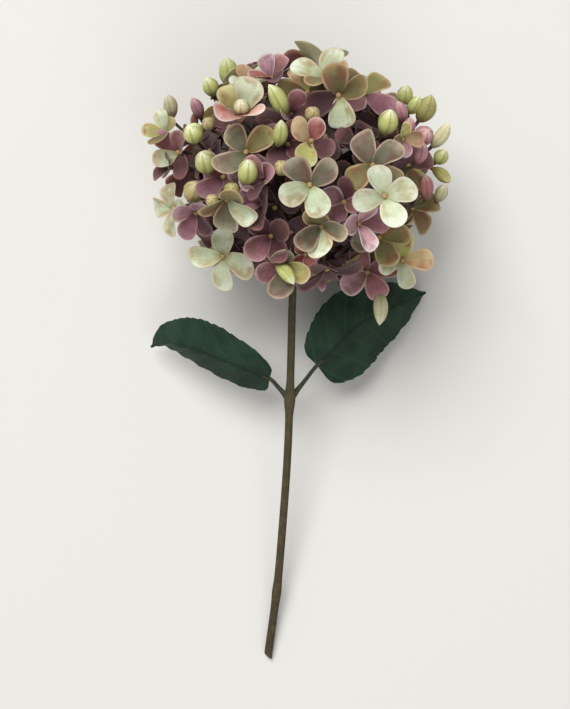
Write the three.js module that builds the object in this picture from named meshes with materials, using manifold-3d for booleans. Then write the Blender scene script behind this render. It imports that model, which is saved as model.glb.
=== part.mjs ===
// A cut hydrangea stem lying on a surface: one round flower head on a bare woody stem, with a pair of leaves
// at the upper of its two joints. Millimetres, +Z up. The head lies towards +Y and the cut end towards -Y, and
// the origin is the middle of the bounding box, on the surface that the stem lies on.
import * as THREE from "three";
import { mergeVertices } from "three/addons/utils/BufferGeometryUtils.js";
import Module from "manifold-3d";

const wasm = await Module();
wasm.setup();

const V = (x, y, z) => new THREE.Vector3(x, y, z);
const rad = THREE.MathUtils.degToRad;
const lerp = THREE.MathUtils.lerp;

// ---------------------------------------------------------------- driving dimensions
const SHEET_THICKNESS = 0.9; // a sepal
const LEAF_THICKNESS = 0.9;
const SEAT_GAP = 0.3; // between pieces that touch
const FINEST_EDGE = 0.01; // shorter edges, left where solids cross, are closed up
const NEARLY_LEVEL = 0.97; // a direction with more of +X in it has its frame turned by +Y instead

// The head is a ball of florets, flattened along the stem. Its florets' middles lie on this ellipsoid.
const HEAD_CENTRE = V(0, 0, 65);
const HEAD_ACROSS = 66;
const HEAD_ALONG = 56;
const SEEN_FROM = V(-7.8, -93, 800); // the eye point from which the florets below were laid out
const FLORET_FLOOR = 3; // no floret's middle lies lower, where the head's weight presses it flat

const STEM_RADIUS = 2;
const STEM_FLARE = 0.3; // how much thicker the stem is at its cut end
const JOINT_SWELL = 1.0; // the leaf joint's extra radius
const JOINT_LENGTH = 6;
const LOWER_SWELL = 0.4; // the same at the leafless joint
const STEM_STEPS = 34;
const STEM_SIDES = 10;
const CUT_SLANT = 3.2; // how far the cut end slopes along the stem

// The stem's centreline, from the crown inside the head to the cut end.
const STEM_LINE = [
  V(-2.5, -33, 56.5),
  V(-4, -69, 48),
  V(-4.5, -92, 42.5),
  V(-5.2, -117.5, 35.8),
  V(-6.8, -155, 26.5),
  V(-10, -199, 16.2),
  V(-12.4, -225.5, 10),
  V(-17.4, -263, 2.35),
];
const LEAF_JOINT = 3; // the index above of the joint that carries the leaves
const LOWER_JOINT = 6; // a leafless joint, where the stem bends

// ---------------------------------------------------------------- small tools
// A repeatable draw from 0 to 1.
function makeDraw(seed) {
  let state = seed >>> 0;
  return () => {
    state = (Math.imul(state, 1664525) + 1013904223) >>> 0;
    return state / 4294967296;
  };
}

// A closed solid from a list of points and a list of faces, whose corners run anticlockwise seen from outside.
function solidOf(points, faces) {
  const vertProperties = new Float32Array(points.flatMap((p) => [p.x, p.y, p.z]));
  const triVerts = new Uint32Array(faces.flat());
  return new wasm.Manifold(new wasm.Mesh({ numProp: 3, vertProperties, triVerts }));
}

// The same, without the points that no face uses.
function trimmedSolid(points, faces) {
  const used = [...new Set(faces.flat())];
  const places = new Map(used.map((index, i) => [index, i]));
  return solidOf(
    used.map((index) => points[index]),
    faces.map((face) => face.map((index) => places.get(index))),
  );
}

function solidFrom(geometry) {
  const vertProperties = new Float32Array(geometry.attributes.position.array);
  const triVerts = new Uint32Array(geometry.index.array);
  return new wasm.Manifold(new wasm.Mesh({ numProp: 3, vertProperties, triVerts }));
}

function geometryOf(solid) {
  const mesh = solid.getMesh();
  return new THREE.BufferGeometry()
    .setAttribute("position", new THREE.BufferAttribute(mesh.vertProperties, 3))
    .setIndex(new THREE.BufferAttribute(mesh.triVerts, 1));
}

// The largest body of a solid, without its hair-thin edges: a hollow that joining sealed is filled, and a
// scrap that cutting left is dropped.
function mainBody(solid) {
  return solid
    .decompose()
    .reduce((a, b) => (a.volume() > b.volume() ? a : b))
    .simplify(FINEST_EDGE);
}

// Two triangles for each side of a band between two rings of points, given by their first indices.
function band(below, above, count) {
  const faces = [];
  for (let i = 0; i < count; i += 1) {
    const j = (i + 1) % count;
    faces.push([below + i, below + j, above + j], [below + i, above + j, above + i]);
  }
  return faces;
}

// A fan that closes a ring of points onto its first one, facing the way the ring runs anticlockwise.
function cap(first, count, outward) {
  const faces = [];
  for (let i = 1; i < count - 1; i += 1) {
    faces.push(outward ? [first, first + i, first + i + 1] : [first, first + i + 1, first + i]);
  }
  return faces;
}

// A right-handed frame whose third axis is the given direction, and whose first follows +X as seen from above.
function frameAlong(direction) {
  const w = direction.clone().normalize();
  const hint = Math.abs(w.x) > NEARLY_LEVEL ? V(0, 1, 0) : V(1, 0, 0);
  const u = hint.sub(w.clone().multiplyScalar(hint.dot(w))).normalize();
  const v = w.clone().cross(u);
  return { u, v, w };
}

// A tube with flat ends along a list of points, with a radius for each point.
function taperedTube(line, radii, sides, slant = 0) {
  const points = [];
  const faces = [];
  line.forEach((at, i) => {
    const ahead = line[Math.min(i + 1, line.length - 1)];
    const behind = line[Math.max(i - 1, 0)];
    const { u, v, w } = frameAlong(ahead.clone().sub(behind));
    for (let k = 0; k < sides; k += 1) {
      const turn = (2 * Math.PI * k) / sides;
      const p = at
        .clone()
        .addScaledVector(u, radii[i] * Math.cos(turn))
        .addScaledVector(v, radii[i] * Math.sin(turn));
      if (i === line.length - 1) p.addScaledVector(w, (slant * Math.cos(turn)) / 2);
      points.push(p);
    }
    if (i > 0) faces.push(...band((i - 1) * sides, i * sides, sides));
  });
  faces.push(...cap(0, sides, false), ...cap((line.length - 1) * sides, sides, true));
  return solidOf(points, faces);
}

// A point given in a frame of its own, placed in the part.
function outOf(at, { u, v, w }, p) {
  return at.clone().addScaledVector(u, p.x).addScaledVector(v, p.y).addScaledVector(w, p.z);
}

// ---------------------------------------------------------------- florets and buds
// How the four sepals of a floret stand: the angle above the floret's plane at the foot and at the tip, in
// degrees, and how much their sides curl up, as a share of the half width.
const OPEN = { foot: 26, tip: -6, curl: 0.2 };
const HALF = { foot: 46, tip: 18, curl: 0.3 };
const CUP = { foot: 64, tip: 46, curl: 0.3 };
const PRESSED = { foot: 0, tip: 0, curl: 0 };
const BUD = "bud";

const SEPALS = 4;
const SEPAL_HALF_WIDTH = 0.36; // of a sepal's length
const SEPAL_OUTLINE = [
  [0.62, -1],
  [0.94, -0.72],
  [0.94, 0.72],
  [0.62, 1],
]; // round a sepal's tip: how far along it, and how far across, as a share of the half width there
const SEPAL_RIB = 0.6; // the point along a sepal's middle that its outline fans out from
const NOTCH = 0.25; // where neighbouring sepals part, along their length
const NOTCH_ROOM = 0.92; // of the width that is free between two notches
const PEDICEL_TOP = 1.1;
const PEDICEL_FOOT = 0.9;
const NECK_LENGTH = 4; // how far a stalk runs straight down before it bends
const EYE_RADIUS = 1.9;
const EYE_HEIGHT = 1.7;

// The sepal's middle line: an arc that starts at the floret's middle. s runs from 0 to 1 along it.
function midline(form, s) {
  const foot = rad(form.foot);
  const bend = rad(form.tip) - foot;
  const lean = foot + bend * s;
  if (bend === 0) return { r: s * Math.cos(foot), z: s * Math.sin(foot), lean };
  return { r: (Math.sin(lean) - Math.sin(foot)) / bend, z: (Math.cos(foot) - Math.cos(lean)) / bend, lean };
}

// The half width of a sepal at s, as a share of its length: narrow at the foot, broadest near three quarters.
function halfWidth(s) {
  const shape = (t) => t ** 0.55 * Math.sqrt(1 - t ** 6);
  return (SEPAL_HALF_WIDTH * shape(s)) / shape(0.72);
}

// One side of a floret's sheet, in its own frame: the outline round all sepals, a rib point on each, and the
// ring round the eye. side is 1 for the upper side and -1 for the lower one.
function sheetSide({ turn, length, form }, side) {
  const spin = (angle, r, across, z) =>
    V(r * Math.cos(angle) - across * Math.sin(angle), r * Math.sin(angle) + across * Math.cos(angle), z);
  const spot = (angle, s, across) => {
    const line = midline(form, s);
    const half = across === 0 ? 0 : Math.min(halfWidth(s), line.r * NOTCH_ROOM) * length;
    const lift = form.curl * half * across * across + (side * SHEET_THICKNESS) / 2;
    return spin(
      angle,
      line.r * length - lift * Math.sin(line.lean),
      across * half,
      line.z * length + lift * Math.cos(line.lean),
    );
  };
  const outline = [];
  const ribs = [];
  const ring = [];
  for (let k = 0; k < SEPALS; k += 1) {
    const angle = turn + (k * 2 * Math.PI) / SEPALS;
    const between = angle - Math.PI / SEPALS;
    outline.push(spot(between, NOTCH, 0), ...SEPAL_OUTLINE.map(([s, across]) => spot(angle, s, across)));
    ribs.push(spot(angle, SEPAL_RIB, 0));
    ring.push(spin(between, side > 0 ? EYE_RADIUS : PEDICEL_TOP, 0, (side * SHEET_THICKNESS) / 2));
  }
  return { outline, ribs, ring };
}

// The triangles of one sepal on one side of the sheet, from its eight corners in turn. A plain sepal does
// without its rib point.
function sepalFaces(corners, rib, plain) {
  if (!plain) return corners.map((corner, i) => [rib, corner, corners[(i + 1) % corners.length]]);
  const [notch, low, high, highAcross, lowAcross, nextNotch, nextRing, ring] = corners;
  return [
    [ring, notch, low],
    [ring, low, high],
    [ring, high, nextRing],
    [high, highAcross, nextRing],
    [nextRing, highAcross, lowAcross],
    [nextRing, lowAcross, nextNotch],
  ];
}

// A floret: four sepals in one sheet round an eye, with the stalk that carries it. Its middle is at `at`, it
// faces `facing`, and its stalk ends at `root`. The sheet's two sides have the same triangles.
function floret(flower) {
  const { at, facing, form, root, plain } = flower;
  const { u, v, w } = frameAlong(facing);
  const points = [];
  const add = (p) => points.push(outOf(at, { u, v, w }, p)) - 1;
  const [top, bottom] = [1, -1].map((side) => {
    const { outline, ribs, ring } = sheetSide(flower, side);
    return { outline: outline.map(add), ribs: ribs.map(add), ring: ring.map(add) };
  });
  const faces = [];
  const step = top.outline.length / SEPALS;
  for (const { outline, ribs, ring } of [top, bottom]) {
    for (let k = 0; k < SEPALS; k += 1) {
      const next = (k + 1) % SEPALS;
      const corners = [...outline.slice(k * step, (k + 1) * step), outline[next * step], ring[next], ring[k]];
      const lobe = sepalFaces(corners, ribs[k], plain);
      faces.push(...(ring === top.ring ? lobe : lobe.map(([a, b, c]) => [a, c, b])));
    }
  }
  top.outline.forEach((above, i) => {
    const j = (i + 1) % top.outline.length;
    const [below, belowNext, aboveNext] = [bottom.outline[i], bottom.outline[j], top.outline[j]];
    faces.push([below, belowNext, aboveNext], [below, aboveNext, above]);
  });
  // The eye is a low pyramid, or flat where the floret is pressed on the surface.
  const peak = add(V(0, 0, SHEET_THICKNESS / 2 + (form === PRESSED ? 0 : EYE_HEIGHT)));
  for (let k = 0; k < SEPALS; k += 1) faces.push([peak, top.ring[k], top.ring[(k + 1) % SEPALS]]);
  faces.push(...stalk(points, bottom.ring, at, w.clone().negate(), root));
  return trimmedSolid(points, faces);
}

// The stalk that carries a flower, added to the flower's own points: it leaves from a ring of points round
// `at`, straight down at first, and bends towards its root.
function stalk(points, ring, at, down, root) {
  const neck = at.clone().addScaledVector(down, NECK_LENGTH);
  const along = root.clone().sub(neck).normalize();
  const bend = new THREE.Quaternion().setFromUnitVectors(down, along);
  const halfBend = new THREE.Quaternion().slerp(bend, 0.5);
  const arms = ring.map((index) => {
    const arm = points[index].clone().sub(at);
    return arm.addScaledVector(down, -arm.dot(down)).normalize();
  });
  const faces = [];
  let last = ring;
  for (const [centre, turned, radius] of [
    [neck, halfBend, PEDICEL_TOP],
    [root, bend, PEDICEL_FOOT],
  ]) {
    const next = arms.map(
      (arm) => points.push(arm.clone().applyQuaternion(turned).multiplyScalar(radius).add(centre)) - 1,
    );
    next.forEach((index, i) => {
      const j = (i + 1) % next.length;
      faces.push([index, next[j], last[j]], [index, last[j], last[i]]);
    });
    last = next;
  }
  return [...faces, ...cap(last[0], last.length, false)];
}

const BUD_SIDES = 5;
const BUD_LEVELS = [
  [-0.2, 0.92],
  [0.18, 0.86],
]; // a bud's rings above its foot: how far along it, from its middle, and how wide, as a share of its width

// A closed bud: a pointed egg on its stalk. Its middle is at `at`, and its point is towards `facing`.
function bud({ at, facing, turn, length, width, root }) {
  const axes = frameAlong(facing);
  const points = [];
  const faces = [];
  for (const [height, share] of [[-0.5, (2 * PEDICEL_TOP) / width], ...BUD_LEVELS]) {
    for (let k = 0; k < BUD_SIDES; k += 1) {
      const angle = turn + (2 * Math.PI * k) / BUD_SIDES;
      const radius = (share * width) / 2;
      points.push(outOf(at, axes, V(radius * Math.cos(angle), radius * Math.sin(angle), height * length)));
    }
  }
  const tip = points.push(outOf(at, axes, V(0, 0, length / 2))) - 1;
  const ring = (level) => Array.from({ length: BUD_SIDES }, (_, k) => level * BUD_SIDES + k);
  BUD_LEVELS.forEach((_, level) => faces.push(...band(level * BUD_SIDES, (level + 1) * BUD_SIDES, BUD_SIDES)));
  const last = ring(BUD_LEVELS.length);
  last.forEach((index, k) => faces.push([index, last[(k + 1) % BUD_SIDES], tip]));
  const foot = outOf(at, axes, V(0, 0, -length / 2));
  faces.push(...stalk(points, ring(0), foot, axes.w.clone().negate(), root));
  return solidOf(points, faces);
}

// ---------------------------------------------------------------- the flower head
// The florets and buds on the side that faces up, as they are seen from SEEN_FROM against the plane through
// the head's middle: x, y, how far out they stand as a share of the head's radius, the x and y of the way they
// face, the turn of their first sepal in degrees, their form, and their width, and for a bud its length too.
const UPPER_SIDE = [
  // the top of the head, left to right
  [-68, 36, 1.0, -0.15, 0.8, 0, BUD, 8, 14],
  [-70, 22, 1.0, -0.75, 0.15, 100, HALF, 30],
  [-54, 35, 1.0, -0.35, 0.75, 0, BUD, 7, 13],
  [-56, 22, 1.0, -0.25, 0.35, 0, BUD, 11, 12],
  [-47, 46, 1.0, -0.35, 0.7, 0, BUD, 9, 12],
  [-38, 54, 1.0, -0.1, 0.85, 0, BUD, 10, 15],
  [-36, 42, 1.02, -0.05, 0.75, 0, BUD, 9, 13],
  [-31, 29, 1.02, 0.0, 0.84, 45, CUP, 33],
  [-27, 46, 0.98, -0.05, 0.6, 20, HALF, 32],
  [-13, 52, 1.0, -0.05, 0.55, 125, OPEN, 34],
  [-12, 39, 1.04, -0.42, 0.72, 0, BUD, 9, 19],
  [-11, 22, 1.02, 0.15, 0.75, 0, BUD, 8, 15],
  [14, 51, 1.0, -0.15, 0.6, 70, OPEN, 36],
  [19, 40, 1.0, 0.1, -0.35, 290, OPEN, 38],
  [34, 43, 0.98, 0.3, 0.45, 55, OPEN, 38],
  [45, 28, 1.02, 0.25, -0.5, 0, BUD, 11, 16],
  [54, 42, 1.0, 0.1, 0.7, 0, BUD, 9, 12],
  [59, 37, 1.02, 0.45, 0.65, 0, BUD, 8, 12],
  [65, 35, 1.0, 0.4, 0.8, 0, BUD, 11, 16],
  [52, 33, 1.04, -0.25, 0.75, 0, BUD, 7, 13],
  [56, 25, 1.04, 0.15, 0.75, 0, BUD, 7, 12],
  [64, 21, 1.0, 0.35, 0.3, 0, BUD, 11, 11],
  [53, 19, 1.0, 0.6, -0.2, 10, HALF, 22],
  [74, 21, 1.0, 0.55, 0.75, 0, BUD, 8, 16],
  // across the middle
  [-28, 12, 0.95, 0.0, 0.05, 35, OPEN, 36],
  [-50, 7, 1.04, -0.1, 0.5, 0, BUD, 11, 15],
  [-28, 2, 1.06, 0.15, 0.6, 0, BUD, 10.5, 16],
  [-63, 12, 0.98, -0.45, -0.2, 130, OPEN, 36],
  [-67, 4, 1.0, -0.8, 0.1, 30, HALF, 22],
  [4, 13, 1.0, 0.15, 0.4, 70, HALF, 32],
  [5, -5, 1.05, 0.0, 0.02, 27, OPEN, 37],
  [37, 4, 0.96, -0.05, 0.35, 25, OPEN, 38],
  [44, -11, 1.06, 0.05, 0.38, 14, OPEN, 36],
  [62, 12, 1.02, 0.2, 0.75, 0, BUD, 8, 13],
  [65, -6, 1.0, -0.1, 0.8, 0, BUD, 8, 15],
  [73, 10, 1.0, 0.5, 0.6, 0, BUD, 8, 10],
  [74, 0, 1.0, 0.6, -0.6, 0, BUD, 7, 14],
  [73, -9, 1.0, 0.3, 0.7, 0, BUD, 7, 12],
  [58, -17, 0.94, 0.55, 0.0, 300, OPEN, 36],
  [-17, -3, 0.92, -0.4, 0.1, 100, HALF, 34],
  // below the middle
  [-56, -8, 1.02, 0.35, 0.5, 0, BUD, 11, 13],
  [-46, -13, 1.04, 0.0, 0.2, 0, BUD, 7, 7],
  [-36, -8, 1.04, 0.2, 0.4, 0, BUD, 9, 10],
  [-65, -17, 0.98, -0.65, -0.1, 100, OPEN, 32],
  [-54, -19, 1.0, -0.2, -0.6, 60, HALF, 30],
  [-38, -14, 1.04, 0.0, -0.72, 255, HALF, 40],
  [-19, -15, 0.98, -0.35, -0.1, 100, HALF, 37],
  [-15, -31, 0.98, 0.0, -0.3, 40, OPEN, 36],
  [-40, -42, 1.0, -0.3, -0.3, 355, OPEN, 37],
  [11, -26, 1.04, 0.0, -0.52, 10, OPEN, 36],
  [23, -14, 0.98, -0.1, 0.05, 150, OPEN, 32],
  [30, -26, 1.0, 0.45, 0.0, 275, HALF, 36],
  [41, -32, 0.96, 0.2, -0.2, 40, OPEN, 34],
  [53, -44, 1.02, 0.35, -0.15, 5, OPEN, 35],
  [21, -48, 0.94, 0.0, -0.6, 20, OPEN, 34],
  [35, -50, 1.02, 0.0, -0.4, 215, OPEN, 38],
  [-9, -47, 1.02, 0.0, -0.7, 270, HALF, 36],
  [-8, -51, 1.16, 0.55, -0.65, 0, BUD, 8, 15],
  [11, -57, 0.98, 0.1, -0.8, 0, BUD, 5, 9],
  [41, -69, 0.98, 0.0, -0.92, 0, BUD, 8.5, 20],
];

// The rest of the head grows by a rule: the golden angle spreads its flowers over the side that faces down.
const GOLDEN_ANGLE = Math.PI * (3 - Math.sqrt(5));
const SPIRAL_COUNT = 74;
const SPIRAL_TOP = 0.4; // flowers above this height on the unit ball are the upper side's
const STEM_OPENING = 0.8; // no flower grows where the stem enters, by its nearness to straight down the stem
const FLOWER_SPACING = 24;
const LOWER_SHARE = 0.97; // how far out the lower flowers stand, of the head's radius
const LOWER_DROOP = 0.15; // the most that one nods
const LOWER_FORMS = [OPEN, HALF, OPEN, BUD, OPEN, OPEN, HALF, BUD];
const LOWER_WIDTHS = [36, 41]; // of florets, least and most
const LOWER_BUD_WIDTHS = [10, 12];
const LOWER_BUD_LENGTHS = [13, 16];
const SIGHT_PASSES = 4; // how often a sight line's meeting with the head is worked out closer
const LEAST_RISE = 0.02; // the square of how far a flower of the upper side still faces up

const stemAway = STEM_LINE[1].clone().sub(STEM_LINE[0]).normalize();

// A point of the head's ellipsoid, from a direction on the unit ball.
function onHead(direction, share) {
  return V(
    direction.x * HEAD_ACROSS * share,
    direction.y * HEAD_ALONG * share,
    direction.z * HEAD_ACROSS * share,
  ).add(HEAD_CENTRE);
}

// The direction of the golden-angle spiral's point i of count, from the top of the unit ball to its foot.
function spiralDirection(i, count) {
  const height = 1 - (2 * i + 1) / count;
  const ring = Math.sqrt(1 - height * height);
  return V(Math.cos(i * GOLDEN_ANGLE) * ring, Math.sin(i * GOLDEN_ANGLE) * ring, height);
}

// Where the sight line through (x, y) on the plane of the head's middle meets the head.
function alongSight(x, y, share) {
  const eye = SEEN_FROM;
  const spot = V(x, y, HEAD_CENTRE.z);
  for (let pass = 0; pass < SIGHT_PASSES; pass += 1) {
    const inside = share ** 2 - (spot.x / HEAD_ACROSS) ** 2 - (spot.y / HEAD_ALONG) ** 2;
    spot.z = HEAD_CENTRE.z + HEAD_ACROSS * Math.sqrt(Math.max(0, inside));
    const nearer = (eye.z - spot.z) / (eye.z - HEAD_CENTRE.z);
    spot.x = eye.x + (x - eye.x) * nearer;
    spot.y = eye.y + (y - eye.y) * nearer;
  }
  return spot;
}

function upperFlowers() {
  return UPPER_SIDE.map(([x, y, share, faceX, faceY, turn, form, width, length]) => {
    const at = alongSight(x, y, share);
    const facing = V(faceX, faceY, Math.sqrt(Math.max(LEAST_RISE, 1 - faceX ** 2 - faceY ** 2)));
    return { at, facing, turn: rad(turn), form, width, length: form === BUD ? length : width / 2 };
  });
}

// The lower flowers: those of the spiral that face down, clear of the stem and of the flowers already placed.
function lowerFlowers(placed) {
  const draw = makeDraw(7);
  const flowers = [];
  const taken = placed.map((flower) => flower.at);
  for (let i = 0; i < SPIRAL_COUNT; i += 1) {
    const direction = spiralDirection(i, SPIRAL_COUNT);
    const [nod, spin, size] = [draw(), draw(), draw()];
    if (direction.z > SPIRAL_TOP || direction.dot(stemAway) > STEM_OPENING) continue;
    const at = onHead(direction, LOWER_SHARE);
    at.z = Math.max(at.z, FLORET_FLOOR);
    if (taken.some((other) => other.distanceTo(at) < FLOWER_SPACING)) continue;
    const form = LOWER_FORMS[flowers.length % LOWER_FORMS.length];
    const facing = direction.clone().add(V(0, 0, -LOWER_DROOP * nod)).normalize();
    const width = lerp(...(form === BUD ? LOWER_BUD_WIDTHS : LOWER_WIDTHS), size);
    const length = form === BUD ? lerp(...LOWER_BUD_LENGTHS, size) : width / 2;
    flowers.push({ at, facing, turn: spin * Math.PI, form, width, length, plain: true });
    taken.push(at);
  }
  return flowers;
}

// The floret pressed flat under the head's weight, which is what the head rests on.
const RESTING_FLORET = {
  at: V(0, -6, SHEET_THICKNESS / 2),
  facing: V(0, 0, -1),
  turn: rad(20),
  form: PRESSED,
  width: 38,
  length: 19,
};

// The crown at the stem's top splits into rays, each ending in a knuckle that carries its flowers' stalks.
const RAY_COUNT = 17;
const RAY_REACH = 0.5; // of the head's radius
const RAY_RADII = [1.7, 1.2];
const RAY_SIDES = 4;
const KNUCKLE_RADIUS = 3;
const ROOT_DEPTH = 2; // a stalk's foot from its knuckle's middle
const CROWN_RADII = [3.04, 3.8];
const CROWN_LENGTH = 7;
const CROWN_SIDES = 6;

function knuckles() {
  return Array.from({ length: RAY_COUNT }, (_, i) => spiralDirection(i, RAY_COUNT))
    .filter((direction) => direction.dot(stemAway) < STEM_OPENING)
    .map((direction) => onHead(direction, RAY_REACH));
}

function knuckle(at) {
  const ball = new THREE.IcosahedronGeometry(KNUCKLE_RADIUS).deleteAttribute("normal").deleteAttribute("uv");
  return solidFrom(mergeVertices(ball).translate(at.x, at.y, at.z));
}

// A flower on its stalk. A floret that would reach through the surface stands on it instead.
function flowerSolid(flower, root) {
  if (flower.form === BUD) return bud({ ...flower, root });
  const made = floret({ ...flower, root });
  const lowest = made.boundingBox().min[2];
  if (lowest >= 0) return made;
  return floret({ ...flower, at: flower.at.clone().add(V(0, 0, -lowest)), root });
}

function flowerHead() {
  const upper = upperFlowers();
  const lower = lowerFlowers([...upper, RESTING_FLORET]);
  const crown = STEM_LINE[0].clone().addScaledVector(stemAway, -(SEAT_GAP + CROWN_LENGTH / 2));
  const crownLine = [-0.5, 0.5].map((share) => crown.clone().addScaledVector(stemAway, -share * CROWN_LENGTH));
  const spots = knuckles();
  const solids = [taperedTube(crownLine, CROWN_RADII, CROWN_SIDES)];
  for (const spot of spots) solids.push(taperedTube([crown, spot], RAY_RADII, RAY_SIDES), knuckle(spot));
  for (const flower of [...upper, ...lower, RESTING_FLORET]) {
    const spot = spots.reduce((a, b) => (a.distanceTo(flower.at) < b.distanceTo(flower.at) ? a : b));
    const outward = flower.at.clone().sub(spot).normalize();
    solids.push(flowerSolid(flower, spot.clone().addScaledVector(outward, ROOT_DEPTH)));
  }
  return mainBody(wasm.Manifold.union(solids));
}

// ---------------------------------------------------------------- leaves
// A leaf: the points of its midrib from blade foot to tip. Each half, left and right as seen from the foot,
// has its width, its angle above level in degrees at the foot and at the tip, and how far its margin sweeps
// forward, as a share of the leaf's length.
const LEFT_LEAF = {
  name: "leaf_left",
  midrib: [
    V(-15.4, -106.6, 38),
    V(-33, -99.5, 43),
    V(-51, -92.5, 42),
    V(-65, -88, 34),
    V(-74, -86.5, 24),
    V(-83, -89, 11),
  ],
  left: { width: 17, raise: [-48, -78], sweep: 0.02 },
  right: { width: 19, raise: [42, 0], sweep: 0.26 },
};
const RIGHT_LEAF = {
  name: "leaf_right",
  midrib: [
    V(9, -99.6, 35),
    V(20, -88.8, 36),
    V(30.5, -78, 33),
    V(45, -70, 27),
    V(58, -64, 19),
    V(71.5, -58, 8),
  ],
  left: { width: 21, raise: [2, -8], sweep: 0.14 },
  right: { width: 27, raise: [-34, -45], sweep: 0.02 },
};
const TEETH = 17; // along each side of a leaf
const TOOTH_DEPTH = 0.035; // of the half width
const VEIN_PAIRS = 7;
const VEIN_RELIEF = 0.35;
const RIB_DEPTH = 1.2; // how far the midrib stands out under the blade's foot
const LOBE_LENGTH = 3; // how far the foot's two lobes reach back towards the stem
const LOBE_PLACE = 0.06; // where they are longest, along the leaf
const LEAF_COLUMNS = [-1, -0.5, 0, 0.5, 1];
const LEAF_ENDS = [0.01, 0.99]; // the first and last row of points, along the leaf
const ROW_CROWDING = 1.15; // above 1, the rows crowd towards the foot
const SWEEP_ONSET = 8; // how soon after the foot the margins reach their full sweep
const STALK_RADII = [1.8, 1.2, 1.1, 0.9];
const STALK_SIDES = 6;
const STALK_SAG = 0.6; // how far the stalk hangs under the blade's foot and under the straight line
const STALK_LOW = 0.6; // where it hangs most, from the stem to the blade
const STALK_LAP = 5; // how far it runs on under the blade

// The half width of a leaf's blade at v, from 0 at its foot to 1 at its tip, as a share of the most: an egg
// shape, broadest at three tenths, with its last quarter drawn out into a point.
function bladeHalfWidth(v) {
  const egg = (t) => t ** 0.4 * (1 - t) ** 0.95;
  return (egg(v) * (1 - 0.35 * THREE.MathUtils.smoothstep(v, 0.75, 1))) / egg(0.3);
}

// A point of the blade: v along the midrib, across from -1 at the right margin to 1 at the left one, and side
// 1 on the upper face or -1 on the lower one. The pleats between the side veins run forward as the margins do.
function bladePoint(shape, curve, v, across, side, tooth) {
  const reach = Math.abs(across);
  const half = across > 0 ? shape.left : shape.right;
  const along = v + half.sweep * reach * (1 - v) * (1 - Math.exp(-SWEEP_ONSET * v));
  const ahead = curve.getTangentAt(along);
  const level = V(-ahead.y, ahead.x, 0).normalize();
  const raise = rad(lerp(half.raise[0], half.raise[1], v));
  const out = level
    .clone()
    .multiplyScalar(Math.sign(across) * Math.cos(raise))
    .add(V(0, 0, Math.sin(raise)));
  const normal = (across === 0 ? ahead.clone().cross(level) : ahead.clone().cross(out)).normalize();
  if (across < 0) normal.negate();
  const width = half.width * bladeHalfWidth(v) * (reach === 1 ? tooth : 1);
  const lobe = LOBE_LENGTH * reach * (v / LOBE_PLACE) * Math.exp(1 - v / LOBE_PLACE);
  const pleat = across === 0 ? 0 : VEIN_RELIEF * Math.cos(2 * Math.PI * VEIN_PAIRS * v);
  const rib = across === 0 && side < 0 ? RIB_DEPTH * (1 - v) : 0;
  return curve
    .getPointAt(along)
    .addScaledVector(out, width * reach)
    .addScaledVector(ahead, -lobe)
    .addScaledVector(normal, pleat + (side * LEAF_THICKNESS) / 2 - rib);
}

// The blade: rows of points across it, alike on its two faces, with a tooth at every other row's end.
function leafBlade(shape) {
  const curve = new THREE.CatmullRomCurve3(shape.midrib);
  const rows = 2 * TEETH;
  const points = [];
  for (const side of [1, -1]) {
    for (let i = 0; i <= rows; i += 1) {
      const v = lerp(...LEAF_ENDS, (i / rows) ** ROW_CROWDING);
      const tooth = i % 2 === 0 ? 1 - TOOTH_DEPTH : 1 + TOOTH_DEPTH;
      for (const across of LEAF_COLUMNS) points.push(bladePoint(shape, curve, v, across, side, tooth));
    }
  }
  const columns = LEAF_COLUMNS.length;
  const under = (rows + 1) * columns; // the first point of the lower face
  const at = (i, j) => i * columns + j;
  const faces = [];
  for (let i = 0; i < rows; i += 1) {
    for (let j = 0; j < columns - 1; j += 1) {
      const [a, b, c, d] = [at(i, j), at(i, j + 1), at(i + 1, j + 1), at(i + 1, j)];
      faces.push([a, c, b], [a, d, c], [under + a, under + b, under + c], [under + a, under + c, under + d]);
    }
  }
  const edge = [];
  for (let j = 0; j < columns; j += 1) edge.push(at(0, j));
  for (let i = 1; i <= rows; i += 1) edge.push(at(i, columns - 1));
  for (let j = columns - 2; j >= 0; j -= 1) edge.push(at(rows, j));
  for (let i = rows - 1; i > 0; i -= 1) edge.push(at(i, 0));
  edge.forEach((a, k) => {
    const b = edge[(k + 1) % edge.length];
    faces.push([a, b, under + b], [a, under + b, under + a]);
  });
  return solidOf(points, faces);
}

// A leaf with its stalk, whose foot hugs the stem's joint with a fine gap.
function leaf(shape) {
  const foot = shape.midrib[0];
  const inwards = shape.midrib[1].clone().sub(foot).normalize();
  const joint = STEM_LINE[LEAF_JOINT];
  const middle = joint.clone().lerp(foot, STALK_LOW).add(V(0, 0, -STALK_SAG));
  const end = foot.clone().addScaledVector(inwards, STALK_LAP);
  const line = [joint, middle, foot, end].map((point) => point.clone().add(V(0, 0, -STALK_SAG)));
  const whole = leafBlade(shape).add(taperedTube(line, STALK_RADII, STALK_SIDES));
  return mainBody(whole.subtract(stem(SEAT_GAP)));
}

// ---------------------------------------------------------------- the stem
function stem(margin = 0) {
  const curve = new THREE.CatmullRomCurve3(STEM_LINE);
  const line = curve.getSpacedPoints(STEM_STEPS);
  const joints = [
    [STEM_LINE[LEAF_JOINT], JOINT_SWELL],
    [STEM_LINE[LOWER_JOINT], LOWER_SWELL],
  ];
  const radii = line.map((point, i) => {
    const plain = STEM_RADIUS + (STEM_FLARE * i) / STEM_STEPS + margin;
    return joints.reduce(
      (radius, [at, extra]) => radius + extra * Math.exp(-((point.distanceTo(at) / JOINT_LENGTH) ** 2)),
      plain,
    );
  });
  return taperedTube(line, radii, STEM_SIDES, CUT_SLANT);
}

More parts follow.
